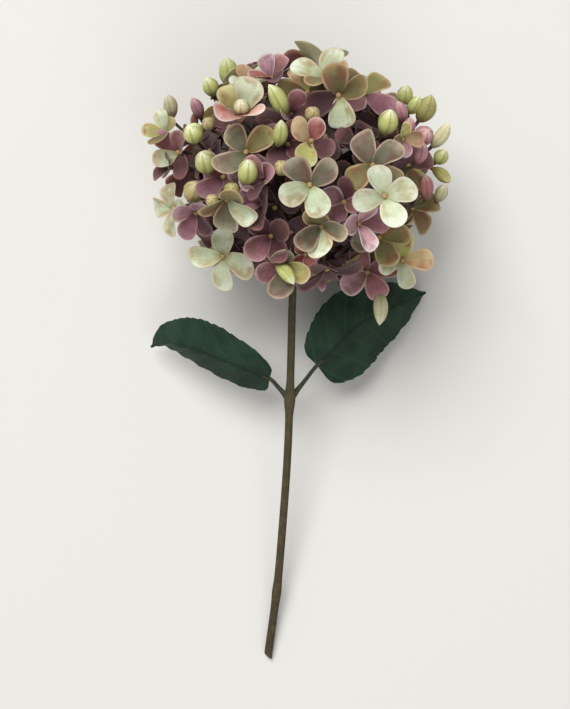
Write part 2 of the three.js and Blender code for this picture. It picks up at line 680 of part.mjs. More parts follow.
// ---------------------------------------------------------------- the finished part
const FINISHES = {
  stem: { color: 0x5c5334, roughness: 0.75 },
  leaf: { color: 0x2a4434, roughness: 0.6 },
  flowers: { color: 0xb3b088, roughness: 0.85 },
};

function mesh(name, solid, finish) {
  const material = new THREE.MeshStandardMaterial({ ...FINISHES[finish], metalness: 0, flatShading: true });
  const made = new THREE.Mesh(geometryOf(solid), material);
  made.name = name;
  return made;
}

const part = new THREE.Group();
part.add(
  mesh("stem", stem(), "stem"),
  mesh(LEFT_LEAF.name, leaf(LEFT_LEAF), "leaf"),
  mesh(RIGHT_LEAF.name, leaf(RIGHT_LEAF), "leaf"),
  mesh("flower_head", flowerHead(), "flowers"),
);

// The part stands on the plane z = 0, with the middle of its bounding box over the origin.
const box = new THREE.Box3().setFromObject(part);
const middle = box.getCenter(V(0, 0, 0));
for (const piece of part.children) piece.position.set(-middle.x, -middle.y, -box.min.z);

export default part;
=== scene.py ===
"""A cut hydrangea stem lying on a pale floor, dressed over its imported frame.

Shapes are worked out in millimetres in the layout frame: its origin is on the floor under the middle of the
flower head, +Y runs from the cut end to the head and +Z is up. A piece is moved to the row frame, in metres,
when its mesh is made.
"""

import logging
import math
from collections.abc import Callable, Iterable, Sequence
from dataclasses import dataclass, field, replace
from enum import Enum

import bpy
import numpy as np
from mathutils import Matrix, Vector


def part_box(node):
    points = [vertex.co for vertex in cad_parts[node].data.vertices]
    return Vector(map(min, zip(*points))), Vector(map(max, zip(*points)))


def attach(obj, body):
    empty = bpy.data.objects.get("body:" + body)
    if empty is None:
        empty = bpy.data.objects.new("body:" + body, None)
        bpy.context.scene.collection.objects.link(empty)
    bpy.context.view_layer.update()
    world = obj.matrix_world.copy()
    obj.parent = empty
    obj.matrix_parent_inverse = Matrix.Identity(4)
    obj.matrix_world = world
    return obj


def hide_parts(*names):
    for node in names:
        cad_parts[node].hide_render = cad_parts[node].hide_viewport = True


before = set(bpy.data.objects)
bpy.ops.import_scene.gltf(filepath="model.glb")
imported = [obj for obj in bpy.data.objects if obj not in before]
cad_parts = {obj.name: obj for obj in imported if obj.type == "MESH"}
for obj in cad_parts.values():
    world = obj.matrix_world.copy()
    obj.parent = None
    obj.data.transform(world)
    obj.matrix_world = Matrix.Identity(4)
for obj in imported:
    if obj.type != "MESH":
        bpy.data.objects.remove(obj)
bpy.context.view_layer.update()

Array = np.ndarray
LOG = logging.getLogger("hydrangea")
MM = 0.001  # metres in a millimetre
GOLDEN_ANGLE = math.pi * (3 - math.sqrt(5))

VEIN_PAIRS = 7  # side veins on each half of a leaf
VEIN_LEAD = 0.1  # how far they run forward from midrib to margin, as a share of the leaf's length

# The camera looks straight down on the lying stem, from the place that the photograph was taken from.
EYE_POINT = (-7.8, -93.1, 800.0)
FOCAL_PIXELS = 1413  # the photograph's focal length
PHOTO_HEIGHT = 709  # pixels, its long side
SENSOR_WIDTH = 36.0  # millimetres

SEAT_GAP = 0.3  # between pieces that touch

# The stem's middle line, from the crown inside the head to the cut end.
STEM_LINE = (
    (-2.5, -33, 56.5),
    (-4, -69, 48),
    (-4.5, -92, 42.5),
    (-5.2, -117.5, 35.8),
    (-6.8, -155, 26.5),
    (-10, -199, 16.2),
    (-12.4, -225.5, 10),
    (-17.4, -263, 2.35),
)
LEAF_JOINT = np.array(STEM_LINE[3])
LOWER_JOINT = np.array(STEM_LINE[6])


# ------------------------------------------------------------------------------------ numbers and shapes
def unit(vectors: Array) -> Array:
    """Vectors of length 1: v / |v|, along the last axis.

    Args:
        vectors: an array whose last axis holds x, y and z.

    Returns:
        The same array with each vector's length made 1.
    """
    return vectors / np.maximum(np.linalg.norm(vectors, axis=-1, keepdims=True), 1e-12)


def smoothstep(x: Array, low: float, high: float) -> Array:
    """A soft step from 0 at low to 1 at high: t * t * (3 - 2 * t).

    Args:
        x: where it is read.
        low: where it starts to rise.
        high: where it is full.

    Returns:
        The step at each x.
    """
    t = np.clip((x - low) / (high - low), 0, 1)
    return t * t * (3 - 2 * t)


def axes_along(direction: Array, hint: Array | None = None) -> tuple[Array, Array, Array]:
    """Right-handed frames whose third axis is w = unit(direction).

    The first axis is the hint without its part along w, u = unit(hint - w * (hint . w)), and the second is
    v = w x u. Without a hint it is +X, or +Y where the direction is nearly +X.

    Args:
        direction: (..., 3) directions.
        hint: a direction for the first axis, or None.

    Returns:
        The axes u, v and w.
    """
    w = unit(direction)
    if hint is None:
        hint = np.where(np.abs(w[..., :1]) > 0.97, (0.0, 1.0, 0.0), (1.0, 0.0, 0.0))
    u = unit(hint - w * np.sum(w * hint, axis=-1, keepdims=True))
    return u, np.cross(w, u), w


def spiral_direction(index: Array, count: int) -> Array:
    """Points spread evenly on the unit ball by the golden angle, from its top to its foot.

    z = 1 - (2 i + 1) / count, and the angle round the ball is i times the golden angle.

    Args:
        index: the points' numbers, from 0.
        count: how many points the whole ball has.

    Returns:
        (n, 3) directions.
    """
    z = 1 - (2 * index + 1) / count
    ring = np.sqrt(1 - z * z)
    return np.stack([np.cos(index * GOLDEN_ANGLE) * ring, np.sin(index * GOLDEN_ANGLE) * ring, z], axis=-1)


class Draw:
    """A repeatable draw from 0 to 1.

    The state becomes (1664525 * state + 1013904223) mod 2^32, and the draw is state / 2^32.
    """

    def __init__(self, seed: int) -> None:
        """Starts the draws from a seed."""
        self.state = seed

    def __call__(self) -> float:
        """The next draw."""
        self.state = (self.state * 1664525 + 1013904223) % 2**32
        return self.state / 2**32


class Path3:
    """A smooth curve through points: centripetal Catmull-Rom, read by its share of the length."""

    SAMPLES = 800
    STEP = 1e-3  # the share of the length to each side that a direction is read from

    def __init__(self, points: Sequence[Sequence[float]]) -> None:
        """Keeps the points, with one more beyond each end, and measures the curve.

        Args:
            points: the points that the curve passes through, in order.
        """
        inner = np.asarray(points, float)
        self.points = np.vstack([2 * inner[0] - inner[1], inner, 2 * inner[-1] - inner[-2]])
        self.steps = np.linspace(0, 1, self.SAMPLES + 1)
        runs = np.linalg.norm(np.diff(self._spot(self.steps), axis=0), axis=1)
        self.lengths = np.concatenate([[0.0], np.cumsum(runs)])

    def _spot(self, t: Array) -> Array:
        """The curve by its own parameter.

        Between p1 and p2 it is a cubic whose slopes are those of the parabolas through three points. Its
        knots are the square root of the points' distance apart.

        Args:
            t: parameters from 0 to 1.

        Returns:
            (..., 3) points.
        """
        spans = len(self.points) - 3
        place = np.clip(t, 0, 1) * spans
        span = np.minimum(place.astype(int), spans - 1)
        s = (place - span)[..., None]
        p0, p1, p2, p3 = (self.points[span + k] for k in range(4))
        legs = ((p0, p1), (p1, p2), (p2, p3))
        k0, k1, k2 = (np.sqrt(np.linalg.norm(b - a, axis=-1, keepdims=True)) for a, b in legs)
        slope1 = ((p1 - p0) / k0 - (p2 - p0) / (k0 + k1) + (p2 - p1) / k1) * k1
        slope2 = ((p2 - p1) / k1 - (p3 - p1) / (k1 + k2) + (p3 - p2) / k2) * k1
        square = -3 * p1 + 3 * p2 - 2 * slope1 - slope2
        cube = 2 * p1 - 2 * p2 + slope1 + slope2
        return p1 + slope1 * s + square * s**2 + cube * s**3

    def at(self, share: Array) -> Array:
        """Points at shares of the curve's length."""
        return self._spot(np.interp(share, self.lengths / self.lengths[-1], self.steps))

    def ahead(self, share: Array) -> Array:
        """Unit directions along the curve at shares of its length, from a point to each side."""
        return unit(self.at(np.minimum(share + self.STEP, 1)) - self.at(np.maximum(share - self.STEP, 0)))


# ------------------------------------------------------------------------------------------- mesh making
@dataclass
class Shell:
    """Points and faces of closed surfaces, with what the materials read.

    Attributes:
        points: (p, 3) places in layout millimetres.
        faces: arrays of faces, each (f, corners).
        uv: (p, 2) the two parameters of the surface at each point.
        marks: named values at each point, for the materials.
        slots: the number of its material for each array of faces.
    """

    points: Array
    faces: list[Array]
    uv: Array
    marks: dict[str, Array] = field(default_factory=dict)
    slots: list[Array] = field(default_factory=list)

    def __post_init__(self) -> None:
        """Gives every face the first material where none was named."""
        if not self.slots:
            self.slots = [np.zeros(len(faces), int) for faces in self.faces]


def joined(shells: Iterable[Shell]) -> Shell:
    """One shell made of several, which keep their own points.

    Args:
        shells: shells with the same named marks.

    Returns:
        The shell of them all.
    """
    parts = list(shells)
    starts = np.cumsum([0] + [len(part.points) for part in parts[:-1]])
    return Shell(
        np.concatenate([part.points for part in parts]),
        [faces + start for part, start in zip(parts, starts) for faces in part.faces],
        np.concatenate([part.uv for part in parts]),
        {name: np.concatenate([part.marks[name] for part in parts]) for name in parts[0].marks},
        [slot for part in parts for slot in part.slots],
    )


def grid_faces(rows: int, columns: int, closed: bool) -> Array:
    """The four-cornered faces of a grid of points, row by row.

    Args:
        rows: how many rows of points.
        columns: how many points in a row.
        closed: whether each row is a ring.

    Returns:
        (f, 4) point numbers, anticlockwise seen from the side that rows x columns points to.
    """
    index = np.arange(rows * columns).reshape(rows, columns)
    right = np.roll(index, -1, axis=1) if closed else index[:, 1:]
    left = index if closed else index[:, :-1]
    return np.stack([left[:-1], left[1:], right[1:], right[:-1]], axis=-1).reshape(-1, 4)


def repeated(faces: Array, copies: int, points_each: int) -> Array:
    """The faces of one shape, once for each of its copies, whose points follow on from each other."""
    return (faces[None] + (np.arange(copies) * points_each)[:, None, None]).reshape(-1, faces.shape[1])


def sheet_faces(rows: int, columns: int) -> list[Array]:
    """The faces of a thin sheet, whose lower side's points follow on from its upper side's.

    Args:
        rows: points along it.
        columns: points across it.

    Returns:
        Its upper side, its lower side and the strip round its edge, as arrays of four-cornered faces.
    """
    index = np.arange(rows * columns).reshape(rows, columns)
    upper = grid_faces(rows, columns, False)
    under = rows * columns
    rim = np.concatenate([index[:-1, 0], index[-1, :-1], index[:0:-1, -1], index[0, :0:-1]])
    after = np.roll(rim, -1)
    edge = np.stack([rim, rim + under, after + under, after], axis=-1)
    return [upper, upper[:, ::-1] + under, edge]


def tubes(
    lines: Array,
    radii: Array | Sequence[float],
    sides: int,
    lobes: Callable[[Array, Array], Array] | None = None,
) -> Shell:
    """Closed tubes along lines of points, all with as many rows and sides.

    A point is line + radius * lobes(angle, row) * (u cos angle + v sin angle), where u and v are square to
    the line. Each end is closed by one flat face.

    Args:
        lines: (n, rows, 3) the middle lines.
        radii: (n, rows) or (rows,) the radii.
        sides: how many points in a ring.
        lobes: a factor for the radius from the angle and the row's share, or None.

    Returns:
        The shell, with u round each tube and v along it from 0 to 1.
    """
    count, rows, _ = lines.shape
    direction = np.gradient(lines, axis=1)
    mean = unit(lines[:, -1:] - lines[:, :1])
    hint = np.eye(3)[np.argmin(np.abs(mean), axis=-1)]
    u, v, _ = axes_along(direction, hint)
    angle = 2 * math.pi * np.arange(sides) / sides
    share = np.linspace(0, 1, rows)
    factor = np.ones((rows, sides)) if lobes is None else lobes(angle[None], share[:, None])
    reach = (np.broadcast_to(radii, (count, rows))[..., None] * factor)[..., None]
    ring = u[:, :, None] * np.cos(angle)[:, None] + v[:, :, None] * np.sin(angle)[:, None]
    points = lines[:, :, None] + reach * ring
    around, along = np.meshgrid(np.arange(sides) / sides, share)
    uv = np.broadcast_to(np.stack([around, along], axis=-1), (count, rows, sides, 2))
    wall = grid_faces(rows, sides, True)[:, ::-1]
    first = np.arange(sides)[None, ::-1]
    last = (rows - 1) * sides + np.arange(sides)[None]
    faces = [repeated(part, count, rows * sides) for part in (wall, first, last)]
    return Shell(points.reshape(-1, 3), faces, uv.reshape(-1, 2))


@dataclass(frozen=True)
class Layout:
    """Where the layout frame lies in the row frame.

    Attributes:
        shift: from a layout place to its place in the row frame, in millimetres.
    """

    shift: Array

    SHARP_ANGLE = math.radians(60)  # an edge that turns more than this stays sharp

    def piece(
        self,
        name: str,
        shell: Shell,
        materials: Sequence[bpy.types.Material],
        levels: int = 0,
    ) -> bpy.types.Object:
        """A smooth mesh object in the row frame, riding on the root body.

        Args:
            name: the object's name.
            shell: its points and faces, in layout millimetres.
            materials: its materials, in the order of the shell's slots.
            levels: how often it is subdivided.

        Returns:
            The object, at the origin.
        """
        mesh = bpy.data.meshes.new(name)
        sizes = np.concatenate([np.full(len(faces), faces.shape[1]) for faces in shell.faces])
        corners = np.concatenate([faces.ravel() for faces in shell.faces]).astype(np.int32)
        mesh.vertices.add(len(shell.points))
        mesh.vertices.foreach_set("co", ((shell.points + self.shift) * MM).astype(np.float32).ravel())
        mesh.loops.add(len(corners))
        mesh.loops.foreach_set("vertex_index", corners)
        mesh.polygons.add(len(sizes))
        starts = np.concatenate([[0], np.cumsum(sizes)[:-1]]).astype(np.int32)
        mesh.polygons.foreach_set("loop_start", starts)
        mesh.polygons.foreach_set("material_index", np.concatenate(shell.slots).astype(np.int32))
        mesh.polygons.foreach_set("use_smooth", np.ones(len(sizes), bool))
        mesh.update(calc_edges=True)
        mesh.uv_layers.new(name="UVMap").data.foreach_set("uv", shell.uv[corners].astype(np.float32).ravel())
        for mark, values in shell.marks.items():
            mesh.attributes.new(mark, "FLOAT", "POINT").data.foreach_set("value", values.astype(np.float32))
        mesh.set_sharp_from_angle(angle=self.SHARP_ANGLE)
        mesh.validate()
        piece = bpy.data.objects.new(name, mesh)
        for material in materials:
            mesh.materials.append(material)
        bpy.context.scene.collection.objects.link(piece)
        if levels:
            subdivision = piece.modifiers.new("Subdivision", "SUBSURF")
            subdivision.levels = subdivision.render_levels = levels
        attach(piece, "root")
        LOG.info("%s: %d points, %d faces", name, len(mesh.vertices), len(mesh.polygons))
        return piece


# ---------------------------------------------------------------------------------------------- finishes
MIX_FACTOR, MIX_A, MIX_B, MIX_RESULT = 0, 6, 7, 2  # the sockets of a Mix node that mixes colours

# Settings of nodes, by what they do.
COLOURS = {"data_type": "RGBA"}
SHADING = {"data_type": "RGBA", "blend_type": "MULTIPLY"}
SMOOTH = {"interpolation_type": "SMOOTHSTEP"}
MULTIPLY = {"operation": "MULTIPLY"}
MULTIPLY_ADD = {"operation": "MULTIPLY_ADD"}
ABSOLUTE = {"operation": "ABSOLUTE"}
MAXIMUM = {"operation": "MAXIMUM"}

BUD_SEAMS = 4  # where the four sepals of a closed bud meet


def linear(code: str) -> tuple[float, float, float, float]:
    """An sRGB hex colour as linear red, green, blue and alpha.

    Each channel c becomes c / 12.92 up to 0.04045, and ((c + 0.055) / 1.055) ^ 2.4 above.

    Args:
        code: such as "#8c8f78".

    Returns:
        The linear colour, with alpha 1.
    """
    channels = (int(code[i : i + 2], 16) / 255 for i in (1, 3, 5))
    red, green, blue = (c / 12.92 if c <= 0.04045 else ((c + 0.055) / 1.055) ** 2.4 for c in channels)
    return red, green, blue, 1.0


def per(size: float) -> float:
    """The texture scale at which a pattern's features are this many millimetres apart."""
    return 1 / (size * MM)


def node(
    tree: bpy.types.NodeTree,
    kind: str,
    settings: dict[str, object] | None = None,
    values: dict[int | str, object] | None = None,
    links: dict[int | str, bpy.types.NodeSocket] | None = None,
    stops: Sequence[tuple[float, str]] = (),
) -> bpy.types.Node:
    """Adds a node with its settings and links.

    Args:
        tree: the node tree that it goes into.
        kind: its type, such as "ShaderNodeMath".
        settings: the node's own properties.
        values: input sockets, by number or name, and their values.
        links: input sockets, by number or name, and the sockets that feed them.
        stops: for a colour ramp, the places and hex colours along it.

    Returns:
        The node.
    """
    made = tree.nodes.new(kind)
    for name, value in (settings or {}).items():
        setattr(made, name, value)
    for socket, value in (values or {}).items():
        made.inputs[socket].default_value = value
    for socket, source in (links or {}).items():
        tree.links.new(source, made.inputs[socket])
    for i, (place, code) in enumerate(stops):
        ramp = made.color_ramp.elements
        stop = ramp[i] if i < 2 else ramp.new(place)
        stop.position, stop.color = place, linear(code)
    return made


def blank_material(name: str) -> tuple[bpy.types.Material, bpy.types.NodeTree, bpy.types.NodeSocket]:
    """Starts a node material.

    Args:
        name: the material's name.

    Returns:
        The material, its node tree and the socket of its Object coordinates.
    """
    material = bpy.data.materials.new(name)
    material.use_nodes = True
    tree = material.node_tree
    tree.nodes.clear()
    return material, tree, node(tree, "ShaderNodeTexCoord").outputs["Object"]


def parameters(tree: bpy.types.NodeTree) -> tuple[bpy.types.NodeSocket, bpy.types.NodeSocket]:
    """Adds what reads a surface's two parameters.

    Args:
        tree: the node tree of its material.

    Returns:
        The sockets of the first and the second.
    """
    surface = node(tree, "ShaderNodeUVMap", {"uv_map": "UVMap"}).outputs[0]
    split = node(tree, "ShaderNodeSeparateXYZ", links={0: surface})
    return split.outputs[0], split.outputs[1]


@dataclass(frozen=True)
class SepalFinish:
    """A hydrangea sepal: soft, matt, faintly veined tissue that ages from green to rose and tan.

    The eye sees a paler or darker blade, a margin of another colour, fine freckles and lengthwise veins.

    Attributes:
        name: the material's name, after "sepal_".
        foot: the colour where the sepals meet, greener, and darker there in part as painted shade.
        blade: the colour of the middle.
        tip: the colour towards the tip, paler in part as painted light that the tips catch.
        rim: the colour of the margin.
        blotch: the colour that clouds the blade in soft patches.
        freckle: the colour of the small spots.
        back: the colour of the underside.
    """

    name: str
    foot: str
    blade: str
    tip: str
    rim: str
    blotch: str
    freckle: str
    back: str

    MOTTLE = 8.0  # millimetres between soft patches
    FLUSH = 0.14  # how much more of them lies towards the margin
    WAVER = 0.5  # how far they shift the margin's inner edge
    FRECKLE = 1.1  # millimetres between freckles, about twice as coarse as the real ones, so that they show
    VEINS = 16  # streaks across a sepal
    VEIN_SPREAD = 40.0  # how far apart in the noise the sepals' veins are read, by their tone
    VEIN_SHADE = "#a09a88"
    BACKING = 0.7  # how much of the underside's own colour covers the face's
    BUMP = 0.22  # millimetres from the veins' floor to the blade

    def material(self) -> bpy.types.Material:
        """The node material, which reads the sepal's own two parameters and the marks tone and back.

        How near the margin a point lies is the greater of |2 u - 1| and 2 v - 1. Soft patches and freckles
        run over the whole head, and veins along each sepal. Each colour is laid over the one before it.

        Returns:
            The material.
        """
        material, tree, place = blank_material(f"sepal_{self.name}")
        across, along = parameters(tree)
        tone = node(tree, "ShaderNodeAttribute", {"attribute_name": "tone"}).outputs["Fac"]
        back = node(tree, "ShaderNodeAttribute", {"attribute_name": "back"}).outputs["Fac"]
        centred = node(tree, "ShaderNodeMath", MULTIPLY_ADD, {1: 2.0, 2: -1.0}, {0: across}).outputs[0]
        sideways = node(tree, "ShaderNodeMath", ABSOLUTE, links={0: centred}).outputs[0]
        outward = node(tree, "ShaderNodeMath", MULTIPLY_ADD, {1: 2.0, 2: -1.0}, {0: along}).outputs[0]
        nearness = node(tree, "ShaderNodeMath", MAXIMUM, links={0: sideways, 1: outward}).outputs[0]

        mottle = {"Scale": per(self.MOTTLE), "Detail": 2.0}
        patches = node(tree, "ShaderNodeTexNoise", None, mottle, {"Vector": place}).outputs[0]
        flushing = {0: nearness, 2: patches}
        flushed = node(tree, "ShaderNodeMath", MULTIPLY_ADD, {1: self.FLUSH}, flushing).outputs[0]
        clouding = {"From Min": 0.5, "From Max": 0.74, "To Max": 0.85}
        clouds = node(tree, "ShaderNodeMapRange", SMOOTH, clouding, {"Value": flushed}).outputs[0]
        freckles = {"Scale": per(self.FRECKLE), "Detail": 1.0}
        grain = node(tree, "ShaderNodeTexNoise", None, freckles, {"Vector": place})
        speckling = {"From Min": 0.6, "From Max": 0.75, "To Max": 0.35}
        spots = node(tree, "ShaderNodeMapRange", None, speckling, {"Value": grain.outputs[0]}).outputs[0]
        strand = node(tree, "ShaderNodeMath", MULTIPLY, {1: self.VEINS}, {0: across}).outputs[0]
        apart = node(tree, "ShaderNodeMath", MULTIPLY, {1: self.VEIN_SPREAD}, {0: tone}).outputs[0]
        stretched = node(tree, "ShaderNodeCombineXYZ", links={0: strand, 1: along, 2: apart}).outputs[0]
        strands = {"Scale": 1.0, "Detail": 2.0}
        streaks = node(tree, "ShaderNodeTexNoise", None, strands, {"Vector": stretched})
        veining = {"From Min": 0.45, "From Max": 0.75, "To Max": 0.24}
        veins = node(tree, "ShaderNodeMapRange", SMOOTH, veining, {"Value": streaks.outputs[0]}).outputs[0]
        shifting = {0: patches, 2: nearness}
        wavering = node(tree, "ShaderNodeMath", MULTIPLY_ADD, {1: self.WAVER}, shifting).outputs[0]
        edging = {"From Min": 0.96, "From Max": 1.36, "To Max": 0.85}
        margin = node(tree, "ShaderNodeMapRange", SMOOTH, edging, {"Value": wavering}).outputs[0]
        underside = node(tree, "ShaderNodeMath", MULTIPLY, {1: self.BACKING}, {0: back}).outputs[0]

        # the darker foot is in part painted shade where the sepals meet, and the paler tip in part painted
        # light
        stops = ((0.05, self.foot), (0.3, self.blade), (0.62, self.blade), (0.95, self.tip))
        colour = node(tree, "ShaderNodeValToRGB", links={0: along}, stops=stops).outputs[0]
        for factor, code, settings in (
            (clouds, self.blotch, COLOURS),
            (veins, self.VEIN_SHADE, SHADING),
            (margin, self.rim, COLOURS),
            (spots, self.freckle, COLOURS),
            (underside, self.back, COLOURS),
        ):
            below = {MIX_FACTOR: factor, MIX_A: colour}
            laid = node(tree, "ShaderNodeMix", settings, {MIX_B: linear(code)}, below)
            colour = laid.outputs[MIX_RESULT]
        lightening = {"To Min": 0.72, "To Max": 1.22}
        lightness = node(tree, "ShaderNodeMapRange", None, lightening, {"Value": tone})
        hue = node(tree, "ShaderNodeMapRange", None, {"To Min": 0.488, "To Max": 0.512}, {"Value": tone})
        toning = {"Hue": hue.outputs[0], "Value": lightness.outputs[0], "Color": colour}
        toned = node(tree, "ShaderNodeHueSaturation", links=toning).outputs[0]

        relief = node(tree, "ShaderNodeMath", MULTIPLY_ADD, {1: -0.6}, {0: veins, 2: patches}).outputs[0]
        bumping = {"Strength": 0.6, "Distance": self.BUMP * MM}
        bump = node(tree, "ShaderNodeBump", None, bumping, {"Height": relief}).outputs[0]
        skin = {
            "Roughness": 0.62,
            "Specular IOR Level": 0.32,
            "Subsurface Weight": 0.4,
            "Subsurface Radius": (1.6, 1.2, 0.8),
            "Subsurface Scale": MM,
            "Sheen Weight": 0.12,
            "Sheen Roughness": 0.5,
        }
        shader = node(tree, "ShaderNodeBsdfPrincipled", None, skin, {"Base Color": toned, "Normal": bump})
        node(tree, "ShaderNodeOutputMaterial", links={"Surface": shader.outputs[0]})
        return material


@dataclass(frozen=True)
class BudFinish:
    """A closed bud: waxy young tissue, smoother than a sepal, darker at its foot and along the four seams.

    Attributes:
        name: the material's name.
        foot: the colour at the stalk.
        body: the colour of the middle.
        tip: the colour of the point.
        freckle: the colour of the small spots.
    """

    name: str
    foot: str
    body: str
    tip: str
    freckle: str

    FRECKLE = 1.0  # millimetres between freckles, coarser than the real ones, so that they show
    SEAM_DEPTH = 0.25  # millimetres

    def material(self) -> bpy.types.Material:
        """The node material, which reads the bud's own two parameters and the mark tone.

        A seam runs where |cos(pi BUD_SEAMS u)| comes near 1.

        Returns:
            The material.
        """
        material, tree, place = blank_material(self.name)
        across, along = parameters(tree)
        tone = node(tree, "ShaderNodeAttribute", {"attribute_name": "tone"}).outputs["Fac"]
        freckles = {"Scale": per(self.FRECKLE), "Detail": 1.0}
        grain = node(tree, "ShaderNodeTexNoise", None, freckles, {"Vector": place})
        speckling = {"From Min": 0.6, "From Max": 0.72, "To Max": 0.5}
        spots = node(tree, "ShaderNodeMapRange", None, speckling, {"Value": grain.outputs[0]}).outputs[0]
        angle = node(tree, "ShaderNodeMath", MULTIPLY, {1: math.pi * BUD_SEAMS}, {0: across})
        wave = node(tree, "ShaderNodeMath", {"operation": "COSINE"}, links={0: angle.outputs[0]})
        fold = node(tree, "ShaderNodeMath", ABSOLUTE, links={0: wave.outputs[0]})
        folding = {"From Min": 0.9, "From Max": 1.0, "To Max": 0.55}
        seams = node(tree, "ShaderNodeMapRange", SMOOTH, folding, {"Value": fold.outputs[0]}).outputs[0]

        stops = ((0.12, self.foot), (0.45, self.body), (0.72, self.body), (0.97, self.tip))
        colour = node(tree, "ShaderNodeValToRGB", links={0: along}, stops=stops).outputs[0]
        for factor, code in ((spots, self.freckle), (seams, self.foot)):
            below = {MIX_FACTOR: factor, MIX_A: colour}
            laid = node(tree, "ShaderNodeMix", COLOURS, {MIX_B: linear(code)}, below)
            colour = laid.outputs[MIX_RESULT]
        lightness = node(tree, "ShaderNodeMapRange", None, {"To Min": 0.84, "To Max": 1.14}, {"Value": tone})
        toned = node(tree, "ShaderNodeHueSaturation", links={"Value": lightness.outputs[0], "Color": colour})

        bumping = {"Strength": 0.7, "Distance": self.SEAM_DEPTH * MM}
        bump = node(tree, "ShaderNodeBump", {"invert": True}, bumping, {"Height": seams})
        skin = {
            "Roughness": 0.5,
            "Specular IOR Level": 0.4,
            "Subsurface Weight": 0.15,
            "Subsurface Radius": (1.0, 0.9, 0.4),
            "Subsurface Scale": MM,
        }
        inputs = {"Base Color": toned.outputs[0], "Normal": bump.outputs[0]}
        shader = node(tree, "ShaderNodeBsdfPrincipled", None, skin, inputs)
        node(tree, "ShaderNodeOutputMaterial", links={"Surface": shader.outputs[0]})
        return material


@dataclass(frozen=True)
class StalkFinish:
    """Green or browned plant stalk: matt skin with fine lengthwise ribs, mottled along its length.

    Attributes:
        name: the material's name.
        start: the colour where its second parameter is 0.
        end: the colour where it is 1.
        stain: the colour of the mottling.
        roughness: of the skin.
        ribs: how many ribs run round it.
        patch: millimetres between patches of stain.
        relief: millimetres from the ribs' floor to their crest.
    """

    name: str
    start: str
    end: str
    stain: str
    roughness: float
    ribs: int
    patch: float
    relief: float

    GRAIN = 0.7  # millimetres between the skin's finest pores
    WANDER = 9.0  # how far the patches push the ribs round the stalk, in radians

    def material(self) -> bpy.types.Material:
        """The node material, which reads the stalk's own two parameters.

        The ribs are sin(2 pi ribs u + WANDER * patches), so that they break up along the stalk.

        Returns:
            The material.
        """
        material, tree, place = blank_material(self.name)
        across, along = parameters(tree)
        mottle = {"Scale": per(self.patch), "Detail": 4.0}
        patches = node(tree, "ShaderNodeTexNoise", None, mottle, {"Vector": place}).outputs[0]
        staining = {"From Min": 0.42, "From Max": 0.64, "To Max": 0.8}
        stains = node(tree, "ShaderNodeMapRange", SMOOTH, staining, {"Value": patches}).outputs[0]
        wander = node(tree, "ShaderNodeMath", MULTIPLY, {1: self.WANDER}, {0: patches}).outputs[0]
        turning = {1: 2 * math.pi * self.ribs}
        angle = node(tree, "ShaderNodeMath", MULTIPLY_ADD, turning, {0: across, 2: wander}).outputs[0]
        ribs = node(tree, "ShaderNodeMath", {"operation": "SINE"}, links={0: angle}).outputs[0]
        pores = {"Scale": per(self.GRAIN), "Detail": 3.0}
        fine = node(tree, "ShaderNodeTexNoise", None, pores, {"Vector": place}).outputs[0]

        stops = ((0.0, self.start), (1.0, self.end))
        length = node(tree, "ShaderNodeValToRGB", links={0: along}, stops=stops).outputs[0]
        laying = {MIX_FACTOR: stains, MIX_A: length}
        stain = {MIX_B: linear(self.stain)}
        stained = node(tree, "ShaderNodeMix", COLOURS, stain, laying).outputs[MIX_RESULT]
        shade = node(tree, "ShaderNodeMapRange", None, {"To Min": 0.8, "To Max": 1.15}, {"Value": fine})
        toned = node(tree, "ShaderNodeHueSaturation", links={"Value": shade.outputs[0], "Color": stained})

        relief = node(tree, "ShaderNodeMath", MULTIPLY_ADD, {1: 0.35}, {0: ribs, 2: fine}).outputs[0]
        bumping = {"Strength": 0.7, "Distance": self.relief * MM}
        bump = node(tree, "ShaderNodeBump", None, bumping, {"Height": relief})
        skin = {"Roughness": self.roughness, "Specular IOR Level": 0.35}
        inputs = {"Base Color": toned.outputs[0], "Normal": bump.outputs[0]}
        shader = node(tree, "ShaderNodeBsdfPrincipled", None, skin, inputs)
        node(tree, "ShaderNodeOutputMaterial", links={"Surface": shader.outputs[0]})
        return material


